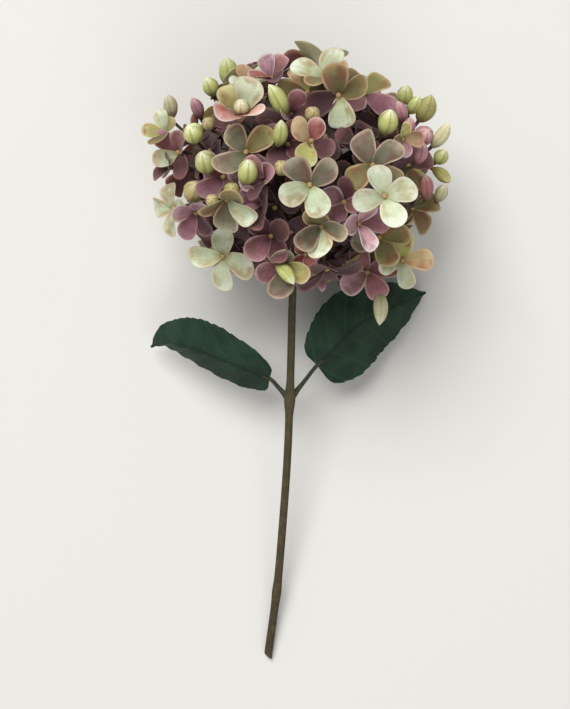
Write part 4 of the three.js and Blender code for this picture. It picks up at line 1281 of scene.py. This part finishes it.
@dataclass
class FlowerHead:
    """The flower head: rays from the stem's top, stalks, florets and buds, on a ball that is a little flat.

    Attributes:
        layout: where the layout frame lies.
        low: the lowest corner that the head's solids reach.
        high: the highest one.
        across: the head's radius over the flowers' middles.
        along: the same along the stem.
    """

    layout: Layout
    low: Array
    high: Array
    across: float = 66.0
    along: float = 56.0

    CENTRE = np.array([0.0, 0.0, 65.0])
    FLOOR = 3.0  # no flower's middle lies lower, but for the one that is pressed flat
    BOX_INSET = 0.2  # how far inside the box of the head's solids the flowers stay
    SIGHT_STEPS = 4  # how often a place on a sight line is brought nearer to the head
    LEAST_RISE = 0.02  # the least square of the z of the way that a bloom faces

    LOWER = Spiral(count=74, top=0.4, spacing=24.0, share=0.97, seed=7)  # those with solids
    FILLERS = Spiral(count=170, top=0.15, spacing=15.0, share=0.9, seed=9)  # further ones between those
    STEM_OPENING = 0.8  # no flower is nearer to the stem, by the cosine of the angle between them
    DROOP = 0.15  # how far the spirals' flowers nod down at most
    FLORET_WIDTHS = (36.0, 41.0)
    BUD_WIDTHS = (10.0, 12.0)
    BUD_LENGTHS = (13.0, 16.0)

    INNER_COUNT = 90  # points of the second layer of florets, back in the shade
    INNER_SHARE = 0.75
    INNER_OPENING = 0.9  # as STEM_OPENING
    INNER_WIDTHS = (28.0, 34.0)
    INNER_SEED = 5

    BUD_ROUNDEST = 0.593  # about the most that t^0.5 * (1 - t^2.6) comes to
    BUD_RADIUS = 0.49  # at its broadest, of its width
    BUD_BEND = 0.05  # how far its middle stands aside, of its length
    BUD_SEAM = 0.07  # how much less its radius is at a seam
    BUD_TONE_SEED = 3

    EYE_RADIUS = 1.5
    EYE_HEIGHT = 2.4
    EYE_HEIGHT_PRESSED = 0.4
    EYE_SUNK = 0.15  # how much of its height is below the floret's middle
    EYE_LOBES = 4
    EYE_LOBING = 0.08  # how much further out than the rest a lobe's crest is
    EYE_TONE_SEED = 4

    CROWN_LENGTH = 7.0
    CROWN_RADII = (3.0, 3.3, 3.7, 3.9, 3.6, 2.6)
    RAY_COUNT = 17
    RAY_REACH = 0.5  # how far out a ray ends, of the head's radius
    RAY_RADII = (1.7, 1.2)
    RAY_BOW = 1.5  # how high the middle of a ray stands above a straight one
    KNUCKLE_RADIUS = 2.6
    STALK_RADII = (0.95, 0.85, 0.8, 0.8, 0.85, 0.95, 1.2)
    STALK_NECK = 9.0  # from a stalk's top down to the point that its curve bends towards
    STALK_FLOOR = 1.0  # no stalk's middle line lies lower
    BUD_STALK_TOP = 0.47  # how far below its middle a bud's stalk ends, of its length
    FLORET_STALK_TOP = 0.1  # how far below its middle a floret's stalk ends

    @property
    def stem_away(self) -> Array:
        """The direction in which the stem leaves the head."""
        return unit(np.array(STEM_LINE[1]) - np.array(STEM_LINE[0]))

    def on_head(self, direction: Array, share: float) -> Array:
        """The point of the head in a direction: centre + share * direction * the head's radii."""
        return self.CENTRE + share * direction * np.array([self.across, self.along, self.across])

    def along_sight(self, bloom: Bloom) -> Array:
        """Where the sight line to a bloom meets the head.

        The line passes through (x, y) on the plane of the head's middle. The height comes from the
        ellipsoid, and the place on the line from the height, SIGHT_STEPS times over.

        Args:
            bloom: the bloom that is seen there.

        Returns:
            The point, in layout millimetres.
        """
        eye = np.array(EYE_POINT)
        seen = np.array([bloom.x, bloom.y])
        spot = seen.copy()
        height = self.CENTRE[2]
        for _ in range(self.SIGHT_STEPS):
            inside = bloom.share**2 - (spot[0] / self.across) ** 2 - (spot[1] / self.along) ** 2
            height = self.CENTRE[2] + self.across * math.sqrt(max(0.0, inside))
            nearer = (eye[2] - height) / (eye[2] - self.CENTRE[2])
            spot = eye[:2] + (seen - eye[:2]) * nearer
        return np.array([*spot, height])

    def placed(self, blooms: Sequence[Bloom]) -> list[Flower]:
        """The blooms in their places on the head."""
        flowers = []
        for bloom in blooms:
            rise = math.sqrt(max(self.LEAST_RISE, 1 - bloom.face_x**2 - bloom.face_y**2))
            length = bloom.length if bloom.form is Form.BUD else bloom.width / 2
            facing = unit(np.array([bloom.face_x, bloom.face_y, rise]))
            at = self.along_sight(bloom)
            turn = math.radians(bloom.turn)
            flowers.append(Flower(at, facing, turn, bloom.form, bloom.width, length, bloom.tints))
        return flowers

    def spiral(self, layer: Spiral, taken: Sequence[Flower]) -> list[Flower]:
        """Flowers at a spiral's points that are clear of the stem and of other flowers.

        Args:
            layer: the spiral that they stand on.
            taken: the flowers that are there already.

        Returns:
            The flowers.
        """
        draw = Draw(layer.seed)
        made: list[Flower] = []
        for index in range(layer.count):
            direction = spiral_direction(np.array(index), layer.count)
            nod, spin, size = draw(), draw(), draw()
            if direction[2] > layer.top or direction @ self.stem_away > self.STEM_OPENING:
                continue
            at = self.on_head(direction, layer.share)
            at[2] = max(at[2], self.FLOOR)
            if any(np.linalg.norm(other.at - at) < layer.spacing for other in [*taken, *made]):
                continue
            form = LOWER_FORMS[len(made) % len(LOWER_FORMS)]
            tints = LOWER_TINTS[len(made) % len(LOWER_TINTS)]
            closed = form is Form.BUD
            if closed != isinstance(tints[0].value, BudFinish):
                spare = SPARE_BUD_TINTS if closed else SPARE_SEPAL_TINTS
                tints = spare[len(made) % len(spare)]
            facing = unit(direction + np.array([0, 0, -self.DROOP * nod]))
            width = float(np.interp(size, (0, 1), self.BUD_WIDTHS if closed else self.FLORET_WIDTHS))
            length = float(np.interp(size, (0, 1), self.BUD_LENGTHS)) if closed else width / 2
            made.append(Flower(at, facing, spin * math.pi, form, width, length, tints))
        return made

    def inner(self) -> list[Flower]:
        """The florets of the second layer, painted dark as shade, facing out through the gaps of the first.
        """
        draw = Draw(self.INNER_SEED)
        made = []
        for index in range(self.INNER_COUNT):
            direction = spiral_direction(np.array(index), self.INNER_COUNT)
            spin, size = draw(), draw()
            if direction @ self.stem_away > self.INNER_OPENING:
                continue
            tints = INNER_TINTS[index % len(INNER_TINTS)]
            width = float(np.interp(size, (0, 1), self.INNER_WIDTHS))
            at = self.on_head(direction, self.INNER_SHARE)
            made.append(Flower(at, direction, spin * math.pi, Form.OPEN, width, width / 2, tints))
        return made

    def knuckles(self) -> Array:
        """The rays' ends, half way out in directions spread over the ball except where the stem is."""
        directions = spiral_direction(np.arange(self.RAY_COUNT), self.RAY_COUNT)
        kept = directions[directions @ self.stem_away < self.STEM_OPENING]
        return self.on_head(kept, self.RAY_REACH)

    def fitted(self, flowers: Sequence[Flower]) -> list[Flower]:
        """The flowers moved back into the box of the head's solids where their sepals would stand out of it.

        Args:
            flowers: the flowers.

        Returns:
            The same flowers, each moved by as much as its outermost point lies outside.
        """
        florets, buds = parted(flowers)
        shells = [(florets, SepalSheets().made(florets)[0])]
        if buds:
            shells.append((buds, self.buds(buds)[0]))
        kept: list[Flower] = []
        for group, shell in shells:
            points = shell.points.reshape(len(group), -1, 3)
            below = np.maximum(self.low + self.BOX_INSET - points.min(axis=1), 0)
            above = np.minimum(self.high - self.BOX_INSET - points.max(axis=1), 0)
            kept += [replace(flower, at=flower.at + move) for flower, move in zip(group, below + above)]
        return kept

    def buds(self, flowers: Sequence[Flower]) -> tuple[Shell, list[Tint]]:
        """Closed buds: pointed eggs with shallow seams, bent a little.

        The radius at t along a bud is BUD_RADIUS * width * t^0.5 * (1 - t^2.6) / BUD_ROUNDEST, and at each
        seam it is less by BUD_SEAM * sin(pi t) of that.

        Args:
            flowers: the buds.

        Returns:
            The shell, and the finishes that its slots stand for.
        """
        rows, sides = 11, 16
        t = np.concatenate([[0.004], np.linspace(0.06, 0.94, rows - 2), [0.992]])  # the ends are closed flat
        at, facing, length, width = gathered(flowers, "at", "facing", "length", "width")
        u, _, w = axes_along(facing)
        bend = self.BUD_BEND * length[:, None] * np.sin(math.pi * t)
        spine = w[:, None] * ((t - 0.5) * length[:, None])[..., None]
        lines = at[:, None] + spine + u[:, None] * bend[..., None]
        radii = self.BUD_RADIUS * width[:, None] * np.sqrt(t) * (1 - t**2.6) / self.BUD_ROUNDEST

        def seamed(angle: Array, share: Array) -> Array:
            """The factor for a bud's radius that draws it in along its seams."""
            return 1 - self.BUD_SEAM * np.abs(np.cos(BUD_SEAMS / 2 * angle)) ** 6 * np.sin(math.pi * share)

        shell = tubes(lines, radii, sides, seamed)
        tone = np.random.default_rng(self.BUD_TONE_SEED).uniform(0, 1, len(flowers))
        shell.marks["tone"] = np.repeat(tone, rows * sides)
        used = sorted({flower.tints[0] for flower in flowers}, key=lambda tint: tint.name)
        finish = np.array([used.index(flower.tints[0]) for flower in flowers])
        shell.slots = [np.repeat(finish, len(faces) // len(flowers)) for faces in shell.faces]
        return shell, used

    def eyes(self, flowers: Sequence[Flower]) -> Shell:
        """The beads in the florets' middles: flat balls with lobes, of radius EYE_RADIUS * sin(pi t)^0.6.

        Args:
            flowers: the florets.

        Returns:
            The shell.
        """
        rows, sides = 6, 12
        t = np.linspace(0.03, 0.97, rows)
        at, facing = gathered(flowers, "at", "facing")
        pressed = np.array([flower.form is Form.PRESSED for flower in flowers])
        height = np.where(pressed, self.EYE_HEIGHT_PRESSED, self.EYE_HEIGHT)
        lines = at[:, None] + unit(facing)[:, None] * (height[:, None] * (t - self.EYE_SUNK))[..., None]

        def lobed(angle: Array, share: Array) -> Array:
            """The factor for a bead's radius that gives it its lobes, the same all along it."""
            return 1 + self.EYE_LOBING * np.cos(self.EYE_LOBES * angle)

        shell = tubes(lines, self.EYE_RADIUS * np.sin(math.pi * t) ** 0.6, sides, lobed)
        tone = np.random.default_rng(self.EYE_TONE_SEED).uniform(0, 1, len(flowers))
        shell.marks["tone"] = np.repeat(tone, rows * sides)
        return shell

    def stalks(self, flowers: Sequence[Flower]) -> Shell:
        """The crown, the rays, their knuckles and the flowers' stalks.

        A stalk leaves its knuckle straight out and bends into the flower's own direction: a curve
        (1 - t)^2 root + 2 t (1 - t) neck + t^2 flower.

        Args:
            flowers: all the flowers.

        Returns:
            The shell.
        """
        knuckles = self.knuckles()
        crown = np.array(STEM_LINE[0]) - self.stem_away * (SEAT_GAP + self.CROWN_LENGTH / 2)
        share = np.linspace(0, 1, len(self.CROWN_RADII))[:, None]
        crown_line = crown + self.stem_away * ((0.5 - share) * self.CROWN_LENGTH)
        bow = np.sin(math.pi * share) * np.array([0, 0, self.RAY_BOW])
        rays = crown + (knuckles[:, None] - crown) * share + bow
        ray_radii = np.interp(share[:, 0], (0, 1), self.RAY_RADII)
        outwards = unit(knuckles - crown)[:, None]
        t = np.linspace(0.04, 0.96, 7)
        balls = knuckles[:, None] + outwards * ((t - 0.5) * 2 * self.KNUCKLE_RADIUS)[:, None]

        at, facing, length = gathered(flowers, "at", "facing", "length")
        closed = np.array([flower.form is Form.BUD for flower in flowers])
        below = np.where(closed, length * self.BUD_STALK_TOP, self.FLORET_STALK_TOP)
        top = at - unit(facing) * below[:, None]
        neck = top - unit(facing) * self.STALK_NECK
        nearest = knuckles[np.argmin(np.linalg.norm(at[:, None] - knuckles[None], axis=-1), axis=1)]
        s = np.linspace(0, 1, len(self.STALK_RADII))[None, :, None]
        lines = (1 - s) ** 2 * nearest[:, None] + 2 * s * (1 - s) * neck[:, None] + s**2 * top[:, None]
        lines[..., 2] = np.maximum(lines[..., 2], self.STALK_FLOOR)
        return joined(
            [
                tubes(crown_line[None], self.CROWN_RADII, 12),
                tubes(rays, ray_radii, 8),
                tubes(balls, self.KNUCKLE_RADIUS * np.sin(math.pi * t) ** 0.6, 8),
                tubes(lines, self.STALK_RADII, 6),
            ]
        )

    def build(self) -> None:
        """Builds the head's pieces and dresses them."""
        upper = self.placed(UPPER_SIDE)
        shown = [*upper, *self.placed(RECESSED)]
        lower = self.spiral(self.LOWER, [*upper, PRESSED_FLORET])
        fillers = self.spiral(self.FILLERS, [*shown, *lower, PRESSED_FLORET])
        hidden = [*lower, *fillers, PRESSED_FLORET]
        layers = {"upper": shown, "lower": hidden, "inner": self.inner()}
        groups = {name: self.fitted(layer) for name, layer in layers.items()}
        everything = [flower for group in groups.values() for flower in group]
        all_florets, all_buds = parted(everything)
        materials = {tint: tint.value.material() for tint in Tint}
        for name, group in groups.items():
            shell, used = SepalSheets().made(parted(group)[0])
            levels = 0 if name == "inner" else 1  # the inner layer lies in the shade
            piece = self.layout.piece(f"sepals_{name}", shell, [materials[tint] for tint in used], levels)
            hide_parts("flower_head")
        shell, used = self.buds(all_buds)
        self.layout.piece("buds", shell, [materials[tint] for tint in used])
        eyes = self.eyes(all_florets)
        self.layout.piece("eyes", eyes, [EYE_BEAD.material()])
        stalks = self.stalks(everything)
        self.layout.piece("flower_stalks", stalks, [FLOWER_STALK.material()])
        LOG.info("flower head: %d flowers", len(everything))


# -------------------------------------------------------------------------------------------------- stem
@dataclass
class Stem:
    """The bare woody stem, with the joint that carries the leaves, a lower joint, and the slanting cut end.

    Attributes:
        radius: at the crown.
        flare: how much thicker it is at the cut end.
        joint_swell: the leaf joint's extra radius.
        lower_swell: the lower joint's.
        joint_length: how far a joint's swelling reaches.
        cut_slant: how far the cut end slopes along the stem.
        rows: rings of points along it.
        sides: points in a ring.
    """

    radius: float = 2.0
    flare: float = 0.3
    joint_swell: float = 1.0
    lower_swell: float = 0.4
    joint_length: float = 6.0
    cut_slant: float = 3.05
    rows: int = 150
    sides: int = 20

    CUT_RINGS = (1.0, 0.93, 0.72, 0.5, 0.25, 0.03)  # of the radius, from the cut's edge to its middle
    RIDGES = 5  # round the stem
    RIDGE_DEPTH = 0.02  # of the radius
    RIDGE_CHANGE = 23  # radians of the sine by which they come and go along the stem

    def shell(self) -> Shell:
        """The stem's surface.

        A ring's radius is radius + flare * share, with exp(-(distance / joint length)^2) times the swell
        added round each joint. Shallow ridges, cos(RIDGES angle), come and go along it. The cut's rings all
        lie on one plane that slopes by cos(angle) * slant / 2.

        Returns:
            The shell, whose second slot is the cut.
        """
        path = Path3(STEM_LINE)
        cut = len(self.CUT_RINGS)
        station = np.concatenate([np.linspace(0, 1, self.rows), np.ones(cut)])
        drawn_in = np.concatenate([np.ones(self.rows), self.CUT_RINGS])
        sloping = np.concatenate([np.zeros(self.rows - 1), [1.0], np.ones(cut)]) * drawn_in
        line = path.at(station)
        u, v, w = axes_along(path.ahead(station))
        radius = self.radius + self.flare * station
        for joint, swell in ((LEAF_JOINT, self.joint_swell), (LOWER_JOINT, self.lower_swell)):
            distance = np.linalg.norm(line - joint, axis=1)
            radius = radius + swell * np.exp(-((distance / self.joint_length) ** 2))
        angle = 2 * math.pi * np.arange(self.sides) / self.sides
        coming = (1 + np.sin(self.RIDGE_CHANGE * station))[:, None]
        ridges = 1 - self.RIDGE_DEPTH * np.cos(self.RIDGES * angle)[None] * coming / 2
        reach = (radius * drawn_in)[:, None] * ridges
        ring = u[:, None] * np.cos(angle)[:, None] + v[:, None] * np.sin(angle)[:, None]
        slope = (self.cut_slant / 2 * sloping)[:, None] * np.cos(angle)
        points = line[:, None] + reach[..., None] * ring + slope[..., None] * w[:, None]
        # the cut's first ring is the stem's last
        keep = np.r_[0 : self.rows, self.rows + 1 : self.rows + cut]
        points = points[keep]
        parameter = np.concatenate([station[: self.rows], self.CUT_RINGS[1:]])
        wall = grid_faces(len(keep), self.sides, True)[:, ::-1]
        bark = (self.rows - 1) * self.sides
        first = np.arange(self.sides)[None, ::-1]
        last = (len(keep) - 1) * self.sides + np.arange(self.sides)[None]
        around, along = np.meshgrid(np.arange(self.sides) / self.sides, parameter)
        slots = [np.zeros(bark, int), np.ones(len(wall) - bark, int), np.zeros(1, int), np.ones(1, int)]
        faces = [wall[:bark], wall[bark:], first, last]
        uv = np.stack([around, along], axis=-1).reshape(-1, 2)
        return Shell(points.reshape(-1, 3), faces, uv, {}, slots)

    def build(self, layout: Layout) -> None:
        """Builds the stem and dresses it."""
        piece = layout.piece("stem_bark", self.shell(), [STEM_BARK.material(), STEM_CUT.material()])
        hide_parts("stem")


# ------------------------------------------------------------------------------------------------ leaves
@dataclass(frozen=True)
class Half:
    """One half of a leaf, beside its midrib.

    Attributes:
        width: the most that it is across.
        raise_foot: its angle above level at the leaf's foot, in degrees.
        raise_tip: the same at the leaf's tip.
        sweep: how far its margin sweeps forward, as a share of the leaf's length.
    """

    width: float
    raise_foot: float
    raise_tip: float
    sweep: float


@dataclass
class Leaf:
    """A leaf: a thin blade with shallow teeth, puckered between its veins, and its stalk from the joint.

    Attributes:
        name: the node that it stands for.
        midrib: the midrib's points from blade foot to tip.
        left: the half on the left, seen from the foot.
        right: the half on the right.
    """

    name: str
    midrib: tuple[tuple[float, float, float], ...]
    left: Half
    right: Half

    TEETH = 17
    ROWS_A_TOOTH = 6
    COLUMNS = 25
    TOOTH_DEPTH = 0.02  # of the half width
    THICKNESS = 0.6
    EDGE_THINNING = 0.5  # how much of it is gone at the margin
    RELIEF = 0.35  # of the pleats between the veins
    FOLD_DEPTH = 0.5  # of the groove along the midrib
    FOLD_WIDTH = 0.06  # how far it reaches to each side, of the half width
    RIB_DEPTH = 1.0  # how far the midrib stands out under the foot
    RIB_WIDTH = 0.07  # how far it reaches to each side, of the half width
    LOBE_LENGTH = 3.0  # how far the foot's lobes reach back
    LOBE_PLACE = 0.06  # where they reach back most, along the leaf
    STALK_RADII = (2.0, 1.35, 1.15, 1.1, 1.05, 0.9)
    STALK_START = 2.4  # how far from the joint's middle the stalk starts
    STALK_BEND = 0.6  # where its middle point is, between the joint and the blade's foot
    STALK_END = 5.0  # how far it runs on under the midrib
    STALK_SAG = 0.6  # how far it lies below the straight line to the midrib

    @staticmethod
    def profile(v: Array) -> Array:
        """The half width at v, as a share of that at 0.3.

        It is v^0.4 (1 - v)^0.95, and drawn in by up to 35% over the last quarter.

        Args:
            v: places along the leaf.

        Returns:
            The share at each.
        """
        drawn_in = 1 - 0.35 * smoothstep(v, 0.75, 1)
        return v**0.4 * (1 - v) ** 0.95 * drawn_in / (0.3**0.4 * 0.7**0.95)

    def blade(self) -> Shell:
        """The blade.

        A row at v crosses the midrib there. A point a of the way to the margin lies width * |a| out in its
        half's own direction, swept forward along the midrib, and set back by the lobe of the foot. Between
        two side veins the tissue bulges by relief * cos(2 pi (VEIN_PAIRS (v - VEIN_LEAD |a|) + 1/2)), and
        along the midrib it is folded in. The rows lie closer together near the foot: v = 0.01 + 0.98 s^1.15.

        Returns:
            The shell.
        """
        path = Path3(self.midrib)
        rows = self.TEETH * self.ROWS_A_TOOTH + 1
        step = np.arange(rows)
        v = (0.01 + 0.98 * (step / (rows - 1)) ** 1.15)[:, None]
        a = np.linspace(-1, 1, self.COLUMNS)[None]
        reach = np.abs(a)
        left = a > 0

        def picked(name: str) -> Array:
            """A measure of the left half on the left of the midrib, and of the right half on the right."""
            return np.where(left, getattr(self.left, name), getattr(self.right, name))

        along = v + picked("sweep") * reach * (1 - v) * (1 - np.exp(-8 * v))
        ahead = path.ahead(along)
        level = unit(np.stack([-ahead[..., 1], ahead[..., 0], np.zeros_like(along)], axis=-1))
        up = np.array([0.0, 0.0, 1.0])

        def out_from(half: Half, sign: float) -> Array:
            """The direction from the midrib to a half's margin: level, turned up by the half's angle."""
            raised = np.radians(half.raise_foot + (half.raise_tip - half.raise_foot) * v)[..., None]
            return sign * level * np.cos(raised) + up * np.sin(raised)

        outs = out_from(self.left, 1.0), out_from(self.right, -1.0)
        normals = unit(np.cross(ahead, outs[0])), -unit(np.cross(ahead, outs[1]))
        out = np.where(left[..., None], *outs)
        turn = smoothstep(a, -0.1, 0.1)[..., None]
        normal = unit(normals[1] + (normals[0] - normals[1]) * turn)
        saw = (step % self.ROWS_A_TOOTH / self.ROWS_A_TOOTH * 2 - 1)[:, None]
        teeth = 1 + self.TOOTH_DEPTH * saw * reach**8
        width = picked("width") * self.profile(v) * reach * teeth
        lobe = self.LOBE_LENGTH * reach * (v / self.LOBE_PLACE) * np.exp(1 - v / self.LOBE_PLACE)
        bulge = -np.cos(2 * math.pi * VEIN_PAIRS * (v - VEIN_LEAD * reach))
        fold = self.FOLD_DEPTH * np.exp(-((reach / self.FOLD_WIDTH) ** 2))
        pleat = self.RELIEF * bulge * smoothstep(reach, 0.02, 0.2) - fold
        middle = path.at(along) + out * width[..., None] - ahead * lobe[..., None]
        middle = middle + normal * pleat[..., None]
        rib = self.RIB_DEPTH * (1 - v) * np.exp(-((reach / self.RIB_WIDTH) ** 2))
        half_sheet = self.THICKNESS / 2 * (1 - self.EDGE_THINNING * reach**8)
        upper = middle + normal * half_sheet[..., None]
        lower = middle - normal * (half_sheet + rib)[..., None]
        points = np.stack([upper, lower])
        pair = np.stack(np.broadcast_arrays((a + 1) / 2, v), axis=-1)
        uv = np.broadcast_to(pair, (2, rows, self.COLUMNS, 2)).reshape(-1, 2)
        back = np.repeat([0.0, 1.0], rows * self.COLUMNS)
        return Shell(points.reshape(-1, 3), sheet_faces(rows, self.COLUMNS), uv, {"back": back})

    def stalk(self) -> Shell:
        """The leaf's stalk: a tube from the stem's joint to under the blade's foot, sagging a little."""
        foot = np.array(self.midrib[0], float)
        inwards = unit(np.array(self.midrib[1]) - foot)
        sag = np.array([0.0, 0.0, -self.STALK_SAG])
        towards = unit(foot - LEAF_JOINT)
        start = LEAF_JOINT + towards * self.STALK_START
        middle = LEAF_JOINT + (foot - LEAF_JOINT) * self.STALK_BEND + sag
        path = Path3([start + sag, middle + sag, foot + sag, foot + inwards * self.STALK_END + sag])
        share = np.linspace(0, 1, 18)
        radii = np.interp(share, np.linspace(0, 1, len(self.STALK_RADII)), self.STALK_RADII)
        return tubes(path.at(share)[None], radii, 12)

    def build(self, layout: Layout, blade: bpy.types.Material, stalk: bpy.types.Material) -> None:
        """Builds the leaf's two pieces and dresses them.

        Args:
            layout: where the layout frame lies.
            blade: the blade's material.
            stalk: the stalk's material.
        """
        for piece in (
            layout.piece(f"{self.name}_blade", self.blade(), [blade]),
            layout.piece(f"{self.name}_stalk", self.stalk(), [stalk]),
        ):
            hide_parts(self.name)


LEFT_LEAF = Leaf(
    "leaf_left",
    (
        (-15.4, -106.6, 38),
        (-33, -99.5, 43),
        (-51, -92.5, 42),
        (-65, -88, 34),
        (-74, -86.5, 24),
        (-83, -89, 11),
    ),
    Half(17, -48, -78, 0.02),
    Half(19, 42, 0, 0.26),
)
RIGHT_LEAF = Leaf(
    "leaf_right",
    (
        (9, -99.6, 35),
        (20, -88.8, 36),
        (30.5, -78, 33),
        (45, -70, 27),
        (58, -64, 19),
        (71.5, -58, 8),
    ),
    Half(21, 2, -8, 0.14),
    Half(27, -34, -45, 0.02),
)


# ------------------------------------------------------------------------------------------------ studio
@dataclass
class Studio:
    """A pale floor, soft light from above the head, and the camera straight above.

    Attributes:
        layout: where the layout frame lies.
    """

    layout: Layout

    FLOOR_HALF = 12.0  # metres from the middle to the floor's edge
    SOFT_BOXES = (
        # name, place and size in metres, watts
        ("key", (-1.2, 2.1, 3.9), 3.0, 200.0),
        ("fill", (0.9, -2.4, 3.6), 3.6, 54.0),
    )
    SKY = 0.3  # the strength of the even light from all round
    SKY_COLOUR = "#f2f4f8"

    def build(self) -> None:
        """Makes the floor, the lights, the even light from all round and the camera."""
        mesh = bpy.data.meshes.new("floor")
        reach = self.FLOOR_HALF
        corners = [(-reach, -reach, 0), (reach, -reach, 0), (reach, reach, 0), (-reach, reach, 0)]
        mesh.from_pydata(corners, [], [(0, 1, 2, 3)])
        mesh.materials.append(PALE_FLOOR.material())
        floor = bpy.data.objects.new("floor", mesh)
        bpy.context.scene.collection.objects.link(floor)
        aim = (self.layout.shift + FlowerHead.CENTRE) * MM
        for name, place, size, watts in self.SOFT_BOXES:
            light = bpy.data.lights.new(name, "AREA")
            light.shape, light.size, light.energy = "DISK", size, watts
            box = bpy.data.objects.new(name, light)
            box.location = place
            towards = Vector(aim - np.array(place))
            box.rotation_euler = towards.to_track_quat("-Z", "Y").to_euler()
            bpy.context.scene.collection.objects.link(box)
        world = bpy.data.worlds.new("studio")
        world.use_nodes = True
        background = world.node_tree.nodes["Background"]
        background.inputs["Color"].default_value = linear(self.SKY_COLOUR)
        background.inputs["Strength"].default_value = self.SKY
        bpy.context.scene.world = world
        bpy.context.scene.view_settings.view_transform = "Standard"
        lens = bpy.data.cameras.new("camera")
        lens.sensor_width = SENSOR_WIDTH
        lens.lens = FOCAL_PIXELS * SENSOR_WIDTH / PHOTO_HEIGHT
        camera = bpy.data.objects.new("camera", lens)
        camera.location = (np.array(EYE_POINT) + self.layout.shift) * MM
        bpy.context.scene.collection.objects.link(camera)
        bpy.context.scene.camera = camera


def main() -> None:
    logging.basicConfig(level=logging.INFO, format="%(name)s: %(message)s")
    stem = Stem()
    points = stem.shell().points
    low, high = (np.array(corner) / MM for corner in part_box("stem"))
    layout = Layout((low + high) / 2 - (points.min(axis=0) + points.max(axis=0)) / 2)
    LOG.info("layout shift: %s mm", np.round(layout.shift, 3))
    stem.build(layout)
    blade, stalk = LEAF_BLADE.material(), LEAF_STALK.material()
    for leaf in (LEFT_LEAF, RIGHT_LEAF):
        leaf.build(layout, blade, stalk)
    head_low, head_high = (np.array(corner) / MM - layout.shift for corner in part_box("flower_head"))
    FlowerHead(layout, head_low, head_high).build()
    Studio(layout).build()


if __name__ == "__main__":
    main()
